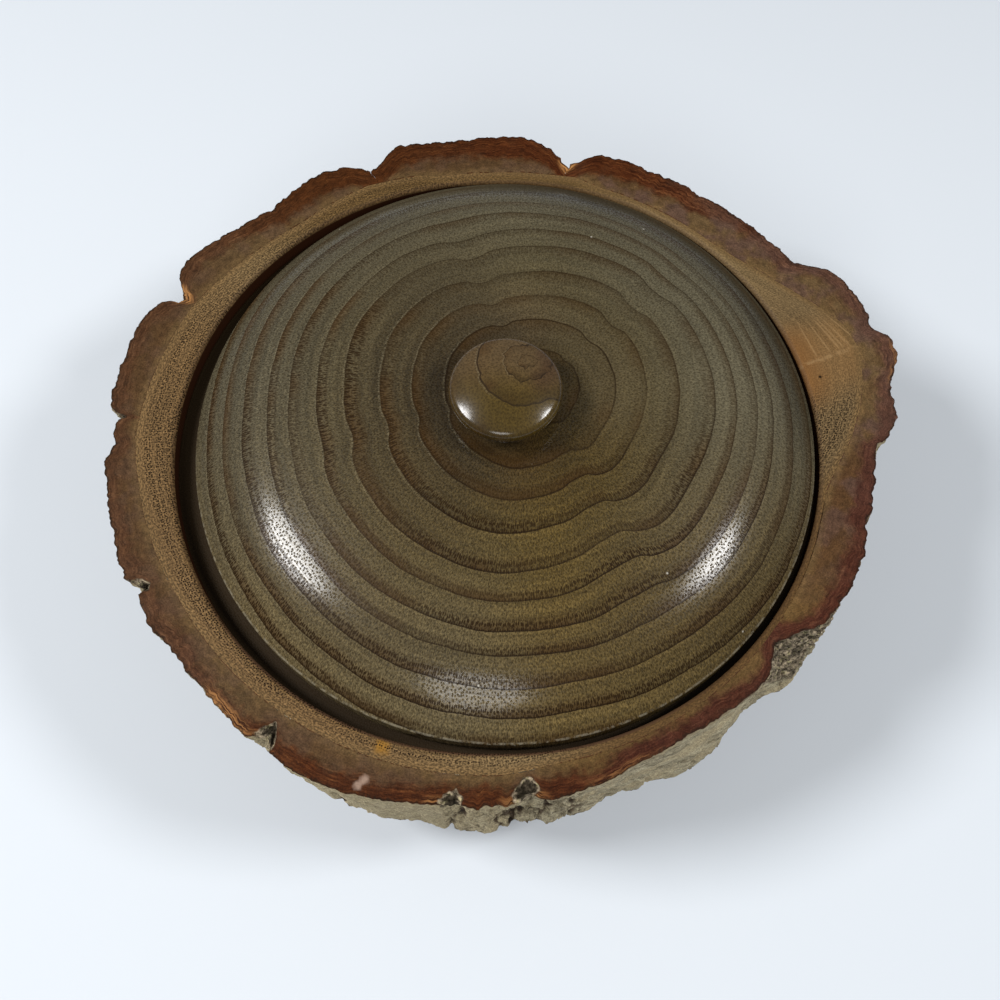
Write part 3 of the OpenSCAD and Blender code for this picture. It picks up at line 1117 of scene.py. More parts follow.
@dataclass(frozen=True)
class BarkFinish:
    """Bark: olive to red-brown where the lathe cut it, grey and fibrous on its own face."""

    effects: Effects
    rim: float
    olive: Colour = tone(0.112, 0.069, 0.03)
    clay: Colour = tone(0.078, 0.038, 0.015)
    meeting: Colour = tone(0.128, 0.077, 0.031)
    bran: Colour = tone(0.17, 0.085, 0.043)
    # What the red layers are multiplied by where they are most rusty
    rust: Colour = tone(0.8, 0.55, 0.28)
    crevice: tuple[tuple[float, Colour], ...] = (
        (0.34, tone(0.014, 0.009, 0.006)),
        (0.48, tone(0.045, 0.03, 0.019)),
        (0.66, tone(0.14, 0.1, 0.064)),
    )
    gilt: Colour = tone(0.12, 0.068, 0.021)
    plum: Colour = tone(0.09, 0.05, 0.036)
    crimson: Colour = tone(0.055, 0.014, 0.008)
    # Tones that sides of its outer layers take
    sides: tuple[Side, ...] = (
        Side(10.0, 34.0, 0.45, plum),
        Side(322.0, 50.0, 0.65, crimson),
        Side(222.0, 26.0, 0.12, bran),
        Side(160.0, 75.0, 0.5, clay),
    )
    layers: tuple[tuple[float, Colour], ...] = (
        (0.3, tone(0.024, 0.008, 0.004)),
        (0.44, tone(0.06, 0.021, 0.01)),
        (0.56, tone(0.096, 0.039, 0.019)),
        (0.72, tone(0.17, 0.085, 0.042)),
    )
    strips: tuple[tuple[float, Colour], ...] = (
        (0.3, tone(0.075, 0.058, 0.034)),
        (0.42, tone(0.225, 0.19, 0.122)),
        (0.54, tone(0.37, 0.322, 0.212)),
        (0.7, tone(0.52, 0.455, 0.31)),
    )
    cream: Colour = tone(0.44, 0.355, 0.21)
    fibre: Colour = tone(0.38, 0.18, 0.06)
    ash: Colour = tone(0.33, 0.265, 0.18)
    moss: Colour = tone(0.36, 0.31, 0.17)
    # Near black, which also serves as painted shade deep in the pockets
    pit: Colour = tone(0.01, 0.007, 0.004)
    flake: Colour = tone(0.36, 0.25, 0.19)
    gloss: float = 0.05
    # Strength of its fine relief, and the relief's depth in mm
    bump: float = 0.9
    bump_depth: float = 0.25
    # Pale flake left on the cut bark
    flaked: tuple[Point, ...] = ((-26.2, -75.4), (-27.4, -76.5))
    # Sides of the bark
    front_side: Sector = (258.0, 36.0)
    back_side: Sector = (95.0, 55.0)
    ruddy_back_side: Sector = (95.0, 50.0)
    left_side: Sector = (185.0, 50.0)
    ruddy_right_side: Sector = (338.0, 28.0)
    weathered_side: Sector = (30.0, 60.0)
    gilt_side: Sector = (306.0, 34.0)
    dull_side: Sector = (20.0, 80.0)
    cream_side: Sector = (250.0, 32.0)
    cream_top_side: Sector = (265.0, 50.0)

    def material(self) -> bpy.types.Material:
        """Build the finish.

        Returns:
            The material.
        """
        finish, graph, shader = new_finish("bark")
        place = graph.place()
        skin = graph.attribute("skin")
        pocket = graph.attribute("pocket")
        handled = self.effects.handling.put(graph, place=place, speck=0.004)
        cut, streaks = self.cut_colour(graph, place, handled["Grain"])
        face, pits = self.face_colour(graph, place, handled["Grain"])
        colour = graph.mix(skin, cut, face)
        shader.inputs["Specular IOR Level"].default_value = self.gloss
        lumps = graph.clouds(place, 1.15, 5.0, 0.65)
        swollen = graph.clouds(place, 0.35, 3.0, 0.6)
        mossy = graph.step(graph.clouds(place, 0.9, 2.0), 0.56, 0.66)
        grey = graph.mix(mossy, self.ash, self.moss)
        grey = graph.shade(grey, graph.spread(graph.step(swollen, 0.36, 0.62), 0.5, 1.5))
        crevice = graph.step(lumps, 0.3, 0.6)
        rubble = graph.mix(crevice, self.pit, grey)
        # Painted shade deep in the middle of each pocket
        rubble = graph.tint(rubble, self.pit, graph.step(pocket, 0.7, 1.0), 0.85)
        colour = graph.mix(graph.step(pocket, 0.1, 0.5), colour, rubble)
        graph.plug(shader.inputs["Base Color"], colour)

        graph.plug(shader.inputs["Roughness"], graph.spread(graph.most(skin, pocket), 0.52, 0.85))
        coarse = graph.clouds(place, 1.6, 4.0, 0.65)
        relief = graph.times(coarse, graph.spread(skin, 0.3, 1.3))
        relief = graph.plus(relief, graph.times(streaks, 0.5))
        relief = graph.minus(relief, graph.times(pits, skin))
        crumbs = graph.plus(graph.times(crevice, 2.5), lumps)
        relief = graph.plus(relief, graph.times(crumbs, pocket))
        graph.roughen(shader, relief, self.bump, self.bump_depth)
        return finish

    def cut_colour(self, graph: Graph, place: Any, grain: Any) -> tuple[Any, Any]:
        """Colour the bark where it was cut.

        Args:
            graph: The material's tree.
            place: Object coordinates in mm.
            grain: A fine even grain.

        Returns:
            The colour, and the layers' streaks.
        """
        layer = graph.attribute("layer")
        rind = graph.attribute("rind")
        flat = graph.flat(place)
        around = graph.scale(graph.vector("NORMALIZE", flat), 80.0)
        slow = graph.swing(graph.scale(place, 0.12), 3.0, 0.6)
        quick = graph.swing(graph.scale(place, 1.0), 3.0, 0.65)
        sway = graph.plus(graph.times(slow, 7.0), graph.times(quick, 2.4))
        way = graph.vector("NORMALIZE", flat)
        red = graph.times(graph.facing(way, *self.back_side), 2.6)
        red = graph.minus(red, graph.times(graph.facing(way, *self.left_side), 0.4))
        inward = graph.minus(graph.plus(rind, sway), red)

        mottle = graph.step(graph.clouds(place, 0.3, 4.0, 0.65), 0.4, 0.66)
        ruddy = graph.most(graph.facing(way, *self.front_side), graph.facing(way, *self.ruddy_back_side))
        ruddy = graph.most(ruddy, graph.times(graph.facing(way, *self.left_side), 1.2))
        ruddy = graph.most(ruddy, graph.times(graph.facing(way, *self.ruddy_right_side), 1.5))
        ruddy = graph.most(graph.times(mottle, 0.5), graph.times(ruddy, 0.65))
        inner = graph.mix(ruddy, self.olive, self.clay)
        inner = graph.tint(inner, self.meeting, graph.step(layer, 2.4, 0.2), 0.85)
        stained = graph.noise(graph.vector("ADD", graph.scale(place, 0.16), (7.0, 3.0, 1.0)), 3.0)
        weathered = graph.spread(graph.facing(way, *self.weathered_side), 0.3, 0.8)
        stained = graph.times(graph.step(stained, 0.42, 0.6), weathered)
        inner = graph.mix(stained, inner, self.plum)
        inner = graph.tint(inner, self.gilt, graph.facing(way, *self.gilt_side), 0.7)
        layered = graph.times(graph.plus(rind, graph.times(slow, 2.0)), 2.4)
        streak_place = graph.vector("ADD", graph.scale(around, 0.2), graph.join(0.0, 0.0, layered))
        streaks = graph.noise(streak_place, 5.0, 0.72)
        outer = graph.ramp(streaks, list(self.layers))
        outer = graph.tint(outer, self.plum, stained, 0.5)
        outer = graph.by_side(outer, way, self.sides)
        rusted = graph.most(graph.facing(way, *self.front_side), graph.facing(way, *self.back_side))
        rusty = graph.mix(1.0, outer, self.rust, "MULTIPLY")
        outer = graph.tint(outer, rusty, rusted, 0.9)
        colour = graph.mix(graph.step(inward, 5.0, 2.0), inner, outer)
        patchy = graph.clouds(place, 0.8, 4.0, 0.7)
        dulled = graph.spread(graph.facing(way, *self.dull_side), 0.84, 0.97)
        colour = graph.shade(colour, graph.spread(grain, 0.75, 1.15), graph.spread(streaks, 0.4, 1.6))
        colour = graph.shade(colour, graph.spread(patchy, 0.1, 1.9), dulled)
        for middle in self.flaked:
            colour = graph.tint(colour, self.flake, BowlWood.spot(graph, flat, middle, 1.5), 0.7)
        torn = graph.times(graph.attribute("torn"), graph.step(streaks, 0.42, 0.56))
        colour = graph.mix(torn, colour, self.fibre)
        rim_edge = graph.step(graph.plus(rind, graph.times(quick, 2.6)), 0.6, 0.1)
        return graph.tint(colour, self.pit, rim_edge, 0.6), streaks

    def face_colour(self, graph: Graph, place: Any, grain: Any) -> tuple[Any, Any]:
        """Colour the bark's own face.

        Args:
            graph: The material's tree.
            place: Object coordinates in mm.
            grain: A fine even grain.

        Returns:
            The colour, and the pits in it.
        """
        shaved = graph.attribute("shaved")
        swirl = graph.add("ShaderNodeTexNoise", {"Vector": place, "Scale": 0.5, "Detail": 3.0})
        crumple = graph.scale(graph.vector("SUBTRACT", swirl.outputs["Color"], (0.5, 0.5, 0.5)), 2.4)
        bent = graph.vector("ADD", place, crumple)
        upright = graph.noise(graph.vector("MULTIPLY", bent, (0.7, 0.7, 0.12)), 5.0, 0.7)
        x, y, z = graph.split(bent)
        tilted = graph.join(x, y, graph.plus(graph.times(z, 5.0), graph.times(x, 1.6)))
        level = graph.clouds(tilted, 0.15, 5.0, 0.72)
        strips = graph.ramp(upright, list(self.strips))
        colour = graph.mix(shaved, strips, graph.ramp(level, list(self.strips)))
        patch = graph.step(graph.clouds(place, 0.16, 3.0), 0.48, 0.62)
        way = graph.vector("NORMALIZE", graph.flat(place))
        warmed = graph.most(patch, graph.facing(way, *self.cream_side))
        colour = graph.tint(colour, self.cream, warmed, 0.5)
        crumbs = graph.clouds(place, 1.5, 3.0, 0.7)
        colour = graph.shade(colour, graph.spread(grain, 0.8, 1.2), graph.spread(crumbs, 0.45, 1.55))
        split = graph.cells(graph.vector("MULTIPLY", bent, (0.26, 0.26, 0.1)), "DISTANCE_TO_EDGE")
        split = graph.times(graph.step(split, 0.05, 0.01), graph.spread(shaved, 0.5, 0.15))
        worked = graph.times(graph.minus(upright, 0.5), 0.9)
        furrow = graph.step(graph.plus(graph.attribute("furrow"), worked), 0.42, 0.9)
        furrow = graph.most(furrow, split)
        upper = graph.step(graph.split(place)[2], self.rim - 3.5, self.rim - 0.3)
        top = graph.mix(graph.facing(way, *self.cream_top_side), self.clay, self.cream)
        colour = graph.tint(colour, top, upper, 0.6)
        pits = graph.step(graph.noise(graph.vector("MULTIPLY", place, (0.7, 0.7, 1.4)), 3.0, 0.7), 0.57, 0.68)
        pits = graph.times(pits, graph.spread(shaved, 0.6, 0.3))
        deep = graph.most(furrow, pits)
        return graph.mix(deep, colour, graph.ramp(upright, list(self.crevice))), pits


@dataclass
class Lid:
    """Domed lid with its knob, turned from one piece."""

    radius: float = 69.0
    edge_height: float = 5.5
    crown: float = 260.0
    shoulder_width: float = 19.0
    edge_slope: float = 45.0
    thickness: float = 7.0
    ring_width: float = 9.0
    corner: float = 5.0
    knob_radius: float = 11.8
    knob_height: float = 10.2
    knob_crown: float = 28.0
    knob_edge: float = 2.0
    neck: float = 8.5
    neck_fillet: float = 1.0
    arris: float = 0.45
    turns: int = 300
    piece: bpy.types.Object | None = field(default=None, init=False)
    seat: float = field(default=0.0, init=False)
    top: float = field(default=0.0, init=False)

    def build(self) -> None:
        """Turn the lid about its own axis, where the CAD has it."""
        low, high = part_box("lid")
        axis = ((low.x + high.x) / 2 / MM, (low.y + high.y) / 2 / MM)
        self.seat = low.z / MM
        profile = [(r, z + self.seat) for r, z in self.underside() + self.outside() + self.knob()]
        mesh = spun(profile, axis, self.turns)
        turning = mesh.verts.layers.float.new("turning")
        arris = mesh.verts.layers.float.new("arris")
        corner = self.seat + self.edge_height
        for vertex in mesh.verts:
            x, y, z = vertex.co / MM
            vertex[turning] = math.hypot(x - axis[0], y - axis[1])
            vertex[arris] = float(vertex[turning] > self.radius - self.arris and abs(z - corner) < self.arris)
        self.piece = settle(mesh, "turned_lid", Body.LID, Slot.LID_WOOD, "lid")

    def underside(self) -> list[Point]:
        """Profile of the hollow and the ring that the lid stands on.

        Returns:
            Points from the axis out to the edge, in mm above the seat.
        """
        shoulder, shoulder_at, shoulder_z = self.shoulder()
        self.top = shoulder_z + dome_height(shoulder, shoulder_at, self.crown)
        ceiling = self.crown - self.thickness
        hollow = self.radius - self.ring_width
        corner_at = hollow - self.corner
        corner_z = self.top - self.thickness - dome_height(self.corner, corner_at, ceiling)
        meet = math.degrees(math.acos(corner_at / (ceiling - self.corner)))
        soft = self.arris
        return [
            *arc((0.0, self.top - self.crown), ceiling, 90.0, meet, 24),
            *arc((corner_at, corner_z), self.corner, meet, 0.0, 10)[1:],
            *arc((hollow + soft, soft), soft, 180.0, 270.0, 4),
            *line((hollow + soft, 0.0), (self.radius - soft, 0.0), 6)[1:-1],
            *arc((self.radius - soft, soft), soft, 270.0, 360.0, 4),
        ]

    def shoulder(self) -> tuple[float, float, float]:
        """Radius and centre of the shoulder's arc, in mm above the seat."""
        slope = math.radians(self.edge_slope)
        start = self.radius - self.shoulder_width
        radius = self.shoulder_width / (math.sin(slope) - start / self.crown)
        return radius, self.radius - radius * math.sin(slope), self.edge_height - radius * math.cos(slope)

    def outside(self) -> list[Point]:
        """Profile of the upright edge, the shoulder and the crown.

        Returns:
            Points from the edge in to the knob's neck, in mm above the seat.
        """
        shoulder, at, height = self.shoulder()
        normal = 90.0 - self.edge_slope
        round_z = self.edge_height - self.arris * math.tan(math.radians(normal / 2))
        meet = math.degrees(math.acos(at / (self.crown - shoulder)))
        neck_turn = math.degrees(math.acos((self.neck + self.neck_fillet) / self.crown))
        return [
            *line((self.radius, self.arris), (self.radius, round_z), 8)[1:-1],
            *arc((self.radius - self.arris, round_z), self.arris, 0.0, normal, 5),
            *arc((at, height), shoulder, normal + 0.6, meet, 40),
            *arc((0.0, self.top - self.crown), self.crown, meet, neck_turn, 60)[1:],
        ]

    def knob(self) -> list[Point]:
        """Profile of the knob.

        Returns:
            Points from the crown up to the axis, in mm above the seat.
        """
        edge_at = self.knob_radius - self.knob_edge
        edge_z = self.top + self.knob_height - dome_height(self.knob_edge, edge_at, self.knob_crown)
        under = edge_z - self.knob_edge
        meet = math.degrees(math.acos(edge_at / (self.knob_crown - self.knob_edge)))
        foot_at = self.neck + self.neck_fillet
        foot_z = self.top - dome_height(0.0, foot_at, self.crown)
        return [
            *arc((foot_at, foot_z + self.neck_fillet), self.neck_fillet, 270.0, 180.0, 6)[1:],
            *line((self.neck, under), (edge_at, under), 3)[:-1],
            *arc((edge_at, edge_z), self.knob_edge, -90.0, meet, 24),
            *arc((0.0, self.top + self.knob_height - self.knob_crown), self.knob_crown, meet, 90.0, 20)[1:],
        ]

    def dress(self, effects: Effects) -> None:
        """Give the lid its finish."""
        self.piece.data.materials.append(LidWood(effects).material(self.seat + self.top))


@dataclass
class RimChart:
    """Radius of the wood on the rim, read off the bark's solids at each degree."""

    wood: list[float]

    def at(self, angle: float) -> float:
        """Radius of the wood at an angle in degrees, in mm."""
        turned = angle % 360
        low = int(turned)
        share = turned - low
        return self.wood[low % 360] * (1 - share) + self.wood[(low + 1) % 360] * share


@dataclass(frozen=True)
class Mark:
    """A place along the bark's edge: angle in degrees, distance in from the edge and size in mm, strength."""

    angle: float
    inward: float
    size: float
    strength: float = 1.0

    def aside(self, angle: float, radius: float) -> float:
        """Distance round the bowl from the mark to an angle in degrees, at a radius in mm."""
        away = (angle - self.angle + 180) % 360 - 180
        return math.radians(away) * radius


@dataclass
class BarkLength:
    """One length of bark between two clefts."""

    node: str
    pockets: tuple[Mark, ...]
    tears: tuple[Mark, ...]
    rubble: tuple[Mark, ...]
    notches: tuple[Mark, ...]
    cell: float = 0.45
    proud: float = 0.15
    lump: float = 0.45
    furrow: float = 1.2
    # Pitch of its forms across and up: plates between furrows, short cracks, lumps, fibres and bends
    plate_pitch: Point = (8.0, 42.0)
    crack_pitch: Point = (5.5, 7.5)
    lump_pitch: Point = (6.0, 11.0)
    fibre_pitch: Point = (1.6, 9.0)
    bend_pitch: Point = (9.0, 12.0)
    bend: float = 2.4
    crack: float = 0.4
    fibre: float = 0.35
    ragged: float = 0.45
    chip: float = 0.5
    cleft: float = 0.06
    cleft_depth: float = 3.0
    wander: float = 1.2
    pocket_depth: float = 1.4
    # Stretches at the front where the bark's face was shaved smooth, in degrees
    shaved: tuple[Point, ...] = ((241.0, 259.0), (286.0, 318.0))
    shaved_end: float = 6.0
    sections: dict[int, list[Point]] = field(default_factory=dict, init=False)
    start: int = field(default=0, init=False)
    span: int = field(default=0, init=False)
    piece: bpy.types.Object | None = field(default=None, init=False)

    def read(self) -> None:
        """Read the sections of the CAD solid, one to each degree."""
        found: dict[int, set[Point]] = {}
        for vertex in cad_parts[self.node].data.vertices:
            x, y, z = vertex.co / MM
            degree = round(math.degrees(math.atan2(y, x))) % 360
            found.setdefault(degree, set()).add((round(math.hypot(x, y), 2), round(z, 2)))
        self.start = next(d for d in found if (d - 1) % 360 not in found)
        self.span = len(found) - 1
        self.sections = {d: self.ordered(points) for d, points in found.items()}

    @staticmethod
    def ordered(points: set[Point]) -> list[Point]:
        """Put a section's points in order.

        Args:
            points: Radius and height of each point, in mm.

        Returns:
            The points from the top's inner end round past the face, with the first one again at the end.
        """
        middle_r = sum(r for r, _ in points) / len(points)
        middle_z = sum(z for _, z in points) / len(points)
        first = max(points, key=lambda p: (round(p[1], 1), -p[0]))
        lead = math.atan2(first[1] - middle_z, first[0] - middle_r)

        def turned(point: Point) -> float:
            """How far round the section a point lies, from the first."""
            return (lead - math.atan2(point[1] - middle_z, point[0] - middle_r)) % FULL_TURN

        ring = sorted(points - {first}, key=turned)
        return [first, *ring, first]

    def section(self, angle: float) -> list[Point]:
        """Section at any angle.

        Args:
            angle: Degrees from the strip's first cleft.

        Returns:
            The section's points, in mm.
        """
        low = min(int(angle), self.span - 1)
        share = angle - low
        first = self.sections[(self.start + low) % 360]
        second = self.sections[(self.start + low + 1) % 360]
        return [(a[0] + (b[0] - a[0]) * share, a[1] + (b[1] - a[1]) * share) for a, b in zip(first, second)]

    def build(self) -> None:
        """Lay a fine grid over the solid, roughen it and close its ends."""
        self.read()
        mesh = bmesh.new()
        reach = self.section(self.span / 2)[1][0]
        columns = round(math.radians(self.span) * reach / self.cell)
        rows = sum(run.value[2] for run in Run)
        bmesh.ops.create_grid(mesh, x_segments=columns, y_segments=rows, size=0.5)
        kept = {name: mesh.verts.layers.float.new(name) for name in KEPT}
        cuts: dict[int, list[Point]] = {}
        for vertex in mesh.verts:
            column = round((vertex.co.x + 0.5) * columns)
            row = round((vertex.co.y + 0.5) * rows)
            angle = self.span * column / columns
            if column not in cuts:
                cuts[column] = self.section(angle)
            self.lay(vertex, kept, cuts[column], angle, row)
        bmesh.ops.remove_doubles(mesh, verts=mesh.verts, dist=MERGE)
        open_edges = [edge for edge in mesh.edges if edge.is_boundary]
        ends = bmesh.ops.holes_fill(mesh, edges=open_edges, sides=0)["faces"]
        bmesh.ops.triangulate(mesh, faces=ends)
        bmesh.ops.recalc_face_normals(mesh, faces=mesh.faces)
        self.piece = settle(mesh, f"{self.node}_length", Body.BOWL, Slot.BARK, self.node)

    def lay(self, vertex: Any, kept: dict[str, Any], cut: list[Point], angle: float, row: int) -> None:
        """Put one vertex of the grid on the roughened bark.

        Args:
            vertex: The vertex to place.
            kept: Layers for the values that the finish reads.
            cut: The section at the vertex's angle.
            angle: Degrees from the strip's first cleft.
            row: The vertex's row in the grid.
        """
        run, share = self.run_of(row)
        first, last, _ = run.value
        step = share * (last - first)
        low = min(int(step), last - first - 1)
        near, far = cut[first + low], cut[first + low + 1]
        radius = near[0] + (far[0] - near[0]) * (step - low)
        height = near[1] + (far[1] - near[1]) * (step - low)
        wood, rim = cut[0]
        anchor = {Run.TOP: cut[1], Run.UNDER: cut[5]}.get(run, (radius, height))
        weight = {Run.TOP: share ** 3, Run.FACE: 1.0, Run.UNDER: (1 - share) ** 3, Run.INNER: 0.0}[run]
        degrees = self.start + angle
        turn = math.radians(degrees)
        way = Vector((math.cos(turn), math.sin(turn), 0.0))
        shaved = self.shaved_at(degrees)
        place = way * anchor[0] + Vector((0, 0, anchor[1]))
        shift, furrow = self.relief(place, rim, degrees, shaved)
        shift = max(shift, wood + 0.4 - anchor[0])
        radius += shift * weight
        rind = max(0.0, anchor[0] + shift - radius)
        pocket = self.pocket_at(degrees, radius, rind, rim - height) if run is not Run.UNDER else 0.0
        if run is Run.TOP:
            chipped = max(0.0, noise.noise(way * radius * 0.45)) * ease(share, 0.85, 1.0)
            height -= self.chip * chipped + self.pocket_depth * pocket
        elif run is Run.FACE:
            grit = self.rubble_at(degrees, radius, rim - height)
            lump = noise.fractal((way * radius + Vector((0, 0, height))) * 0.42, 0.7, 2.0, 4)
            radius -= self.pocket_depth * (0.5 * pocket + 1.1 * grit * (0.4 - lump))
            pocket = max(pocket, grit)
        vertex[kept["layer"]] = max(0.0, radius - wood)
        vertex[kept["rind"]] = rind
        vertex[kept["skin"]] = float(run is Run.FACE and 0.015 < share < 0.985)
        vertex[kept["furrow"]] = furrow if run is Run.FACE else 0.0
        vertex[kept["pocket"]] = pocket
        vertex[kept["shaved"]] = shaved
        vertex[kept["torn"]] = self.torn_at(degrees, radius, rind) if run is Run.TOP else 0.0
        turn += self.opening(angle, radius, height, cut[1][0])
        vertex.co = Vector((radius * math.cos(turn), radius * math.sin(turn), height)) * MM

    def pocket_at(self, angle: float, radius: float, rind: float, below: float) -> float:
        """How far into a pocket a point lies.

        Args:
            angle: The point's angle, in degrees.
            radius: Its radius, in mm.
            rind: Its distance in from the bark's face.
            below: Its distance below the rim.

        Returns:
            From 0, outside every pocket, to 1.
        """
        deepest = 0.0
        for mark in self.pockets:
            aside = mark.aside(angle, radius)
            if abs(aside) > mark.size:
                continue
            wobble = noise.noise(Vector((aside, rind, below + mark.angle)) * 0.9) * 0.5
            away = Vector((aside / 1.3, rind - mark.inward, below * 0.6)).length + wobble
            deepest = max(deepest, mark.strength * (1 - ease(away, 0.25 * mark.size, 0.55 * mark.size)))
        return deepest

    def rubble_at(self, angle: float, radius: float, below: float) -> float:
        """How broken the bark's face is at a point.

        Args:
            angle: The point's angle, in degrees.
            radius: Its radius, in mm.
            below: Its distance below the rim.

        Returns:
            From 0, whole, to 1.
        """
        most = 0.0
        for mark in self.rubble:
            aside = mark.aside(angle, radius)
            if abs(aside) > mark.size:
                continue
            away = Vector((aside, (below - mark.inward) * 0.8)).length
            away += 4.5 * noise.fractal(Vector((aside, below, mark.angle)) * 0.25, 0.7, 2.0, 3)
            most = max(most, mark.strength * (1 - ease(away, 0.5 * mark.size, 0.8 * mark.size)))
        return most

    def torn_at(self, angle: float, radius: float, rind: float) -> float:
        """How much torn fibre shows at a point of the cut.

        Args:
            angle: The point's angle, in degrees.
            radius: Its radius, in mm.
            rind: Its distance in from the bark's face.

        Returns:
            From 0, none, to 1.
        """
        most = 0.0
        for mark in self.tears:
            aside = abs(mark.aside(angle, radius))
            shown = 1 - ease(aside, 0.4 * mark.size, mark.size)
            shown *= 1 - ease(rind, 0.4 * mark.inward, mark.inward)
            most = max(most, shown * mark.strength)
        return most

    @staticmethod
    def run_of(row: int) -> tuple[Run, float]:
        """Which run of the section a row of the grid lies on, and how far along it."""
        for run in Run:
            cells = run.value[2]
            if row <= cells:
                return run, row / cells
            row -= cells
        return Run.INNER, 1.0

    def shaved_at(self, angle: float) -> float:
        """How smooth the bark's face was shaved at an angle in degrees, from 0 to 1."""
        soft = self.shaved_end
        turned = angle % 360
        return sum(
            ease(turned, start - soft, start) * (1 - ease(turned, end, end + soft))
            for start, end in self.shaved
        )

    @staticmethod
    def pitched(place: Vector, pitch: Point) -> Vector:
        """A place counted in pitches, across and up."""
        return Vector((place.x / pitch[0], place.y / pitch[0], place.z / pitch[1]))

    def seam(self, place: Vector, pitch: Point) -> float:
        """How far a place lies from the seam between two plates, in pitches."""
        near, next_near = noise.voronoi(self.pitched(place, pitch))[0][:2]
        return next_near - near

    def relief(self, place: Vector, rim: float, angle: float, shaved: float) -> tuple[float, float]:
        """How far the bark's face stands out at a place.

        Args:
            place: The place, in mm.
            rim: Height of the rim, in mm.
            angle: The place's angle, in degrees.
            shaved: How smooth it was shaved there, from 0 to 1.

        Returns:
            The distance in mm, and how deep in a furrow the place lies, from 0 to 1.
        """
        rugged = 1 - shaved * (0.8 - 0.35 * ease(rim - place.z, 10.0, 24.0))
        below = ease(rim - place.z, 0.0, 8.0)
        bent = place + noise.noise_vector(self.pitched(place, self.bend_pitch)) * self.bend
        frayed = 0.12 * noise.fractal(place / 1.2, 0.8, 2.0, 2)
        furrow = (1 - ease(self.seam(bent, self.plate_pitch) + frayed, 0.0, 0.24)) * rugged
        crack = (1 - ease(self.seam(bent, self.crack_pitch), 0.0, 0.12)) * rugged
        lumps = noise.fractal(self.pitched(place, self.lump_pitch), 0.8, 2.0, 4)
        fibres = noise.fractal(self.pitched(bent, self.fibre_pitch), 0.7, 2.0, 3)
        ragged = noise.fractal(place / 1.7, 0.7, 2.0, 3)
        shift = self.proud + self.lump * (0.6 + below * rugged) * lumps + self.fibre * fibres * below * rugged
        shift += self.ragged * ragged * (1 - 0.6 * below) * (1 - 0.4 * shaved)
        shift -= (self.furrow * furrow + self.crack * crack) * (0.15 + 0.85 * below)
        furrow = max(furrow, 0.6 * crack) * (0.2 + 0.8 * below)
        for mark in self.notches:
            aside = abs(mark.aside(angle, math.hypot(place.x, place.y)) + 0.5 * ragged)
            if aside < mark.size:
                deep = (1 - ease(aside, 0.0, mark.size)) * ease(rim - place.z, mark.inward, mark.inward + 2.5)
                shift -= mark.strength * deep
                furrow = max(furrow, min(1.0, 1.5 * deep))
        return shift, furrow

    def opening(self, angle: float, radius: float, height: float, edge: float) -> float:
        """How far a point near a cleft is turned, in radians: back from it, and along with its wander.

        Args:
            angle: Degrees from the strip's first cleft.
            radius: The point's radius, in mm.
            height: Its height, in mm.
            edge: Radius of the bark's edge there.

        Returns:
            The turn.
        """
        outward = ease(radius, edge - self.cleft_depth, edge)
        reach = math.radians(1) * radius
        turn = 0.0
        for end, away, back in ((self.start, angle, 1), (self.start + self.span, self.span - angle, -1)):
            turn += back * (1 - ease(away * reach, 0.0, 2.5)) * outward * self.cleft
            wander = noise.fractal(Vector((radius * 0.25, height * 0.25, (end % 360) * 1.7)), 0.8, 2.0, 3)
            turn += (1 - ease(away * reach, 0.0, 5.0)) * outward * self.wander * wander
        return turn / radius


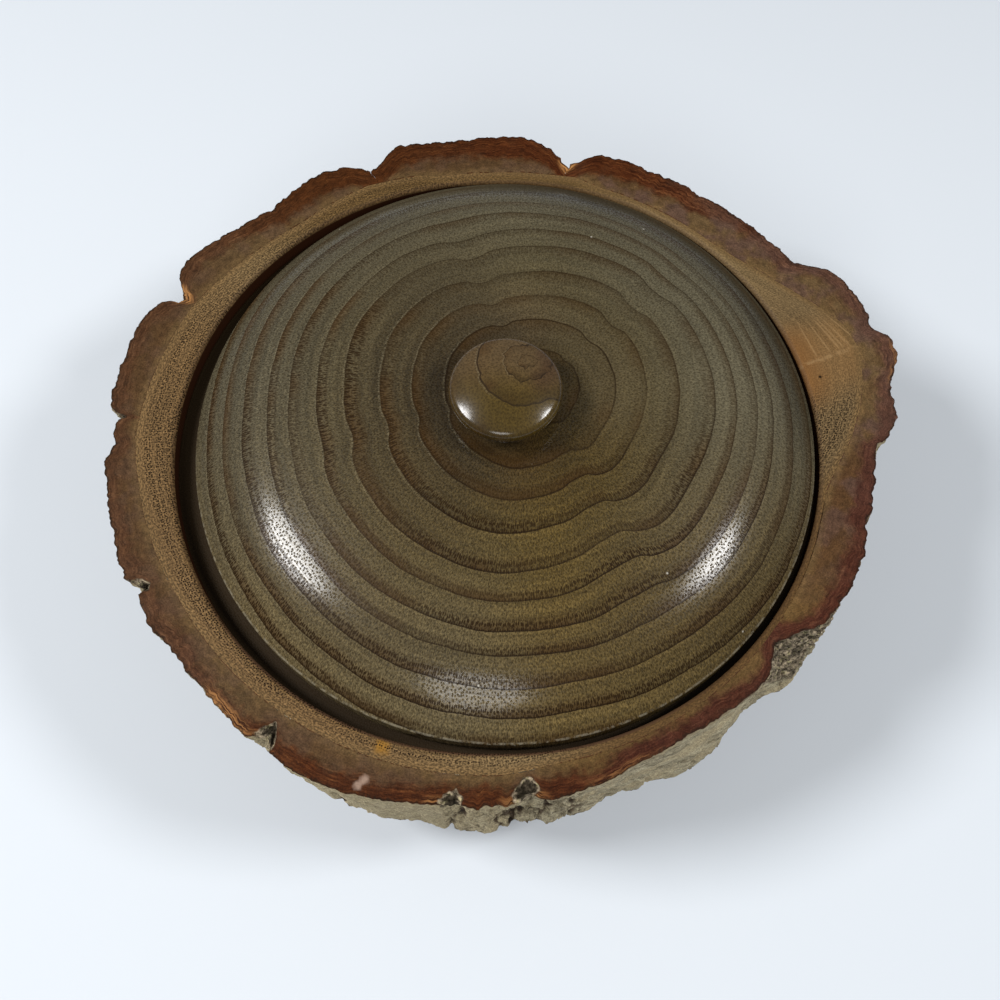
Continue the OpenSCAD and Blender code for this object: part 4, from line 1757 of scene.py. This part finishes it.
@dataclass
class Bowl:
    """The turned bowl: foot, belly, hollow, the lid's seat and the wood on the rim."""

    chart: RimChart
    foot: float = 48.0
    foot_height: float = 3.0
    belly: float = 78.0
    lathe: float = 97.2
    floor: float = 11.0
    dish: float = 300.0
    hollow_corner: float = 28.0
    mouth: float = 65.0
    seat: float = 70.2
    seat_oval: float = 2.0
    seat_depth: float = 5.0
    nominal_wood: float = 80.0
    lip: float = 1.3
    soft: float = 0.5
    turns: int = 360
    piece: bpy.types.Object | None = field(default=None, init=False)

    def belly_centre(self, rim: float) -> Point:
        """Centre of the belly's arc, through the foot's edge and the lathe's cut at the rim.

        Args:
            rim: Height of the rim, in mm.

        Returns:
            The centre's radius and height, in mm.
        """
        across, up = self.lathe - self.foot, rim - self.foot_height
        chord = math.hypot(across, up)
        sag = math.sqrt(self.belly ** 2 - (chord / 2) ** 2)
        return (
            self.foot + across / 2 - sag * up / chord,
            self.foot_height + up / 2 + sag * across / chord,
        )

    def build(self) -> None:
        """Turn the bowl, then draw its seat oval and carry its rim out to the cambium."""
        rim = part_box("bowl")[1].z / MM
        centre = self.belly_centre(rim)
        mesh = spun(self.profile(rim, centre), (0.0, 0.0), self.turns)
        depth = mesh.verts.layers.float.new("depth")
        hollow = mesh.verts.layers.float.new("hollow")
        seat = mesh.verts.layers.float.new("seat")
        ledge = rim - self.seat_depth
        for vertex in mesh.verts:
            x, y, z = vertex.co / MM
            radius = math.hypot(x, y)
            angle = math.degrees(math.atan2(y, x))
            wood = self.chart.at(angle)
            inside = z > self.floor - 0.1 and z > self.belly_height(radius, centre) + 1.0
            inside = inside and radius < self.seat + self.lip * 0.8
            self.carry(vertex, radius, z, angle, wood, rim, centre)
            x, y, z = vertex.co / MM
            vertex[depth] = wood - math.hypot(x, y)
            under = inside and ledge - 1.0 < z < rim - self.lip * 0.8
            rounded = 0.25 * ease(rim - z, 0.05, 0.3) if inside else 0.0
            vertex[seat] = (1.0 if z < ledge + 0.1 else 0.5) if under else rounded
            vertex[hollow] = 1.0 if inside and z < rim - self.lip * 0.8 else ease(vertex[depth], 16.0, 24.0)
        bmesh.ops.recalc_face_normals(mesh, faces=mesh.faces)
        self.piece = settle(mesh, "turned_bowl", Body.BOWL, Slot.BOWL_WOOD, "bowl")

    def profile(self, rim: float, centre: Point) -> list[Point]:
        """Profile of the bowl with a round seat and an even rim.

        Args:
            rim: Height of the rim, in mm.
            centre: Centre of the belly's arc.

        Returns:
            Points from the floor's middle out and round to the foot's middle, in mm.
        """
        corner_at = self.mouth - self.hollow_corner
        corner_z = self.floor + dome_height(self.hollow_corner, corner_at, self.dish)
        meet = -math.degrees(math.acos(corner_at / (self.dish - self.hollow_corner)))
        ledge = rim - self.seat_depth
        belly_top = self.belly_height(self.nominal_wood, centre)
        foot_turn = math.degrees(math.atan2(self.foot_height - centre[1], self.foot - centre[0]))
        wood_turn = math.degrees(math.atan2(belly_top - centre[1], self.nominal_wood - centre[0]))
        return [
            *arc((0.0, self.floor + self.dish), self.dish, -90.0, meet, 16),
            *arc((corner_at, corner_z), self.hollow_corner, meet, 0.0, 16)[1:],
            *line((self.mouth, corner_z), (self.mouth, ledge - self.soft), 6)[1:-1],
            *arc((self.mouth + self.soft, ledge - self.soft), self.soft, 180.0, 90.0, 4),
            *line((self.mouth + self.soft, ledge), (self.seat, ledge), 6)[1:],
            *line((self.seat, ledge), (self.seat, rim - self.lip), 5)[1:-1],
            *arc((self.seat + self.lip, rim - self.lip), self.lip, 180.0, 90.0, 6),
            *line((self.seat + self.lip, rim), (self.nominal_wood, rim), 16)[1:],
            *line((self.nominal_wood, rim), (self.nominal_wood, belly_top), 6)[1:-1],
            *arc(centre, self.belly, wood_turn, foot_turn, 30),
            *line((self.foot, self.foot_height), (self.foot, self.soft), 3)[1:-1],
            *arc((self.foot - self.soft, self.soft), self.soft, 0.0, -90.0, 4),
            *line((self.foot - self.soft, 0.0), (0.0, 0.0), 8)[1:],
        ]

    def belly_height(self, radius: float, centre: Point) -> float:
        """Height of the belly's curve at a radius, in mm."""
        return centre[1] - math.sqrt(self.belly ** 2 - (radius - centre[0]) ** 2)

    def carry(
        self, vertex: Any, radius: float, height: float, angle: float, wood: float, rim: float, centre: Point
    ) -> None:
        """Move one vertex from the round profile to the bowl's own shape.

        Args:
            vertex: The vertex to move.
            radius: Its radius, in mm.
            height: Its height, in mm.
            angle: Its angle, in degrees.
            wood: Radius of the wood at that angle.
            rim: Height of the rim.
            centre: Centre of the belly's arc.
        """
        turn = math.radians(angle)
        oval = self.seat_oval
        across = math.sqrt(self.seat ** 2 - (oval * math.sin(turn)) ** 2)
        stretch = oval * abs(math.cos(turn)) + across - self.seat
        ledge = rim - self.seat_depth
        if height > ledge - 0.01 and radius < self.seat + self.lip + 0.01:
            radius += stretch * ease(radius, self.mouth + self.soft, self.seat)
        elif height > rim - 0.01:
            start = self.seat + self.lip
            share = (radius - start) / (self.nominal_wood - start)
            radius = start + stretch + (wood - start - stretch) * share
        elif radius > self.mouth + self.soft + 0.01 or (radius > self.foot + 0.01 and height < self.floor):
            foot_height = self.belly_height(radius, centre)
            if height < foot_height + 0.01:
                share = (radius - self.foot) / (self.nominal_wood - self.foot)
                radius = self.foot + (wood - self.foot) * share
                height = self.belly_height(radius, centre)
            else:
                base = self.belly_height(self.nominal_wood, centre)
                share = (height - base) / (rim - base)
                radius = wood
                height = self.belly_height(wood, centre) + (rim - self.belly_height(wood, centre)) * share
        vertex.co = Vector((radius * math.cos(turn), radius * math.sin(turn), height)) * MM

    def dress(self, effects: Effects) -> None:
        """Give the bowl its finish."""
        self.piece.data.materials.append(BowlWood(effects).material())


@dataclass
class Bark:
    """The bark round the rim, in lengths between its clefts."""

    nodes: tuple[str, ...] = (
        "bark_knot", "bark_back", "bark_back_left", "bark_left",
        "bark_front_left", "bark_front", "bark_front_right", "bark_right",
    )
    # Dark pits in the edge
    pockets: tuple[Mark, ...] = (
        Mark(205.0, 0.8, 3.2), Mark(235.3, 1.2, 4.2), Mark(263.5, 0.8, 4.0), Mark(274.3, 1.4, 4.8),
    )
    # Broken granular stretch of its face: the second value is how far down it lies
    rubble: tuple[Mark, ...] = (Mark(324.5, 5.5, 17.0, 0.65),)
    # Notches in its face: how far down each one starts, its width and its depth
    notches: tuple[Mark, ...] = (
        Mark(176.6, -3.0, 0.9, 2.2), Mark(181.3, -3.0, 2.6, 0.8), Mark(272.3, 4.5, 1.4, 0.9),
        Mark(246.0, 2.0, 1.6, 0.8), Mark(345.0, -3.0, 2.5, 0.8),
    )
    # Pale torn fibres along the edge
    tears: tuple[Mark, ...] = (
        Mark(77.0, 3.0, 3.0), Mark(153.5, 3.0, 3.2, 0.9), Mark(228.5, 2.4, 9.0, 0.7),
        Mark(262.0, 2.0, 4.0, 0.6), Mark(274.0, 2.2, 6.0, 0.5), Mark(289.0, 1.6, 10.0, 0.35),
        Mark(12.0, 1.4, 7.0, 0.4),
    )
    lengths: list[BarkLength] = field(default_factory=list, init=False)
    rim: float = field(default=0.0, init=False)

    def build(self) -> None:
        """Build each length."""
        for node in self.nodes:
            length = BarkLength(node, self.pockets, self.tears, self.rubble, self.notches)
            length.build()
            self.lengths.append(length)
        self.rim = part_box(self.nodes[0])[1].z / MM

    def chart(self) -> RimChart:
        """Chart the wood that the bark lies on."""
        wood = {d: cut[0][0] for length in self.lengths for d, cut in length.sections.items()}
        return RimChart([wood[d] for d in range(360)])

    def dress(self, effects: Effects) -> None:
        """Give every length the same finish."""
        finish = BarkFinish(effects, self.rim).material()
        for length in self.lengths:
            length.piece.data.materials.append(finish)


@dataclass(frozen=True)
class Lamp:
    """One soft lamp: the way to it, its distance and size in metres, and its power in watts."""

    name: str
    towards: tuple[float, float, float]
    distance: float
    size: float
    power: float


@dataclass
class Studio:
    """Pale floor, soft lamps and the camera."""

    floor_colour: Colour = tone(0.64, 0.68, 0.725)
    # Half its width, and how far out from the bowl the lamps light it; beyond that it fades to the backdrop
    floor_size: float = 6.0
    floor_lit: float = 0.32
    floor_roughness: float = 0.9
    backdrop: Colour = tone(0.7, 0.74, 0.79)
    sky: Colour = tone(0.96, 0.98, 1.0)
    sky_strength: float = 0.21
    target: tuple[float, float, float] = (0.0, 0.0, 0.06)
    lamps: tuple[Lamp, ...] = (
        Lamp("lamp_left", (-0.65, -0.01, 0.76), 0.9, 0.28, 6.6),
        Lamp("lamp_right", (0.65, -0.04, 0.76), 0.9, 0.21, 3.85),
        Lamp("lamp_front", (-0.11, -0.705, 0.7), 0.9, 0.36, 2.25),
    )
    camera_place: tuple[float, float, float] = (0.66, -107.99, 280.43)
    camera_tilt: float = 22.58
    lens: float = 39.6
    sensor: float = 36.0
    clip_start: float = 0.01

    def build(self) -> None:
        """Build the floor, the light and the camera."""
        self.lay_floor()
        for lamp in self.lamps:
            self.hang(lamp)
        self.light_sky()
        self.set_camera()
        bpy.context.scene.view_settings.view_transform = "Standard"

    def lay_floor(self) -> None:
        """Lay a plain pale floor."""
        mesh = bmesh.new()
        bmesh.ops.create_grid(mesh, x_segments=1, y_segments=1, size=self.floor_size)
        data = bpy.data.meshes.new("floor")
        mesh.to_mesh(data)
        mesh.free()
        floor = bpy.data.objects.new("floor", data)
        bpy.context.scene.collection.objects.link(floor)
        finish, graph, shader = new_finish("pale_floor")
        shader.inputs["Base Color"].default_value = self.floor_colour
        shader.inputs["Roughness"].default_value = self.floor_roughness
        plain = graph.add("ShaderNodeEmission", {"Color": self.backdrop}).outputs[0]
        away = graph.step(graph.vector("LENGTH", graph.place()), self.floor_lit / MM, 2 * self.floor_lit / MM)
        seen = graph.times(away, graph.add("ShaderNodeLightPath").outputs["Is Camera Ray"])
        blended = graph.add("ShaderNodeMixShader", {0: seen, 1: shader.outputs[0], 2: plain})
        output = finish.node_tree.nodes["Material Output"]
        graph.plug(output.inputs["Surface"], blended.outputs[0])
        data.materials.append(finish)

    def hang(self, lamp: Lamp) -> None:
        """Hang one lamp, facing the bowl.

        Args:
            lamp: The lamp.
        """
        light = bpy.data.lights.new(lamp.name, "AREA")
        light.shape = "DISK"
        light.size = lamp.size
        light.energy = lamp.power
        holder = bpy.data.objects.new(lamp.name, light)
        way = Vector(lamp.towards).normalized()
        holder.location = Vector(self.target) + way * lamp.distance
        holder.rotation_euler = way.to_track_quat("Z", "Y").to_euler()
        bpy.context.scene.collection.objects.link(holder)

    def light_sky(self) -> None:
        """Fill in with an even pale sky."""
        world = bpy.data.worlds.new("studio")
        world.use_nodes = True
        background = world.node_tree.nodes["Background"]
        background.inputs["Color"].default_value = self.sky
        background.inputs["Strength"].default_value = self.sky_strength
        graph = Graph(world.node_tree)
        plain = graph.add("ShaderNodeBackground", {"Color": self.backdrop}).outputs[0]
        seen = graph.add("ShaderNodeLightPath").outputs["Is Camera Ray"]
        blended = graph.add("ShaderNodeMixShader", {0: seen, 1: background.outputs[0], 2: plain})
        graph.plug(world.node_tree.nodes["World Output"].inputs["Surface"], blended.outputs[0])
        bpy.context.scene.world = world

    def set_camera(self) -> None:
        """Stand the camera where the photograph was taken from."""
        camera = bpy.data.cameras.new("camera")
        camera.lens = self.lens
        camera.sensor_width = self.sensor
        camera.clip_start = self.clip_start
        holder = bpy.data.objects.new("camera", camera)
        holder.location = Vector(self.camera_place) * MM
        holder.rotation_euler = (math.radians(self.camera_tilt), 0.0, 0.0)
        bpy.context.scene.collection.objects.link(holder)
        bpy.context.scene.camera = holder


def report(piece: bpy.types.Object) -> None:
    """Log a piece and how many faces it has."""
    LOG.info("%s: %d faces", piece.name, len(piece.data.polygons))


def main() -> None:
    """Build and dress each sub-assembly in order, then the studio."""
    noise.seed_set(SEED)
    logging.basicConfig(level=logging.INFO, format="%(name)s: %(message)s")
    effects = Effects(RingCount(), GrowthRings(), Pores(), Handling())
    bark = Bark()
    bark.build()
    bark.dress(effects)
    for length in bark.lengths:
        report(length.piece)
    bowl = Bowl(bark.chart())
    bowl.build()
    bowl.dress(effects)
    report(bowl.piece)
    lid = Lid()
    lid.build()
    lid.dress(effects)
    report(lid.piece)
    Studio().build()


if __name__ == "__main__":
    main()
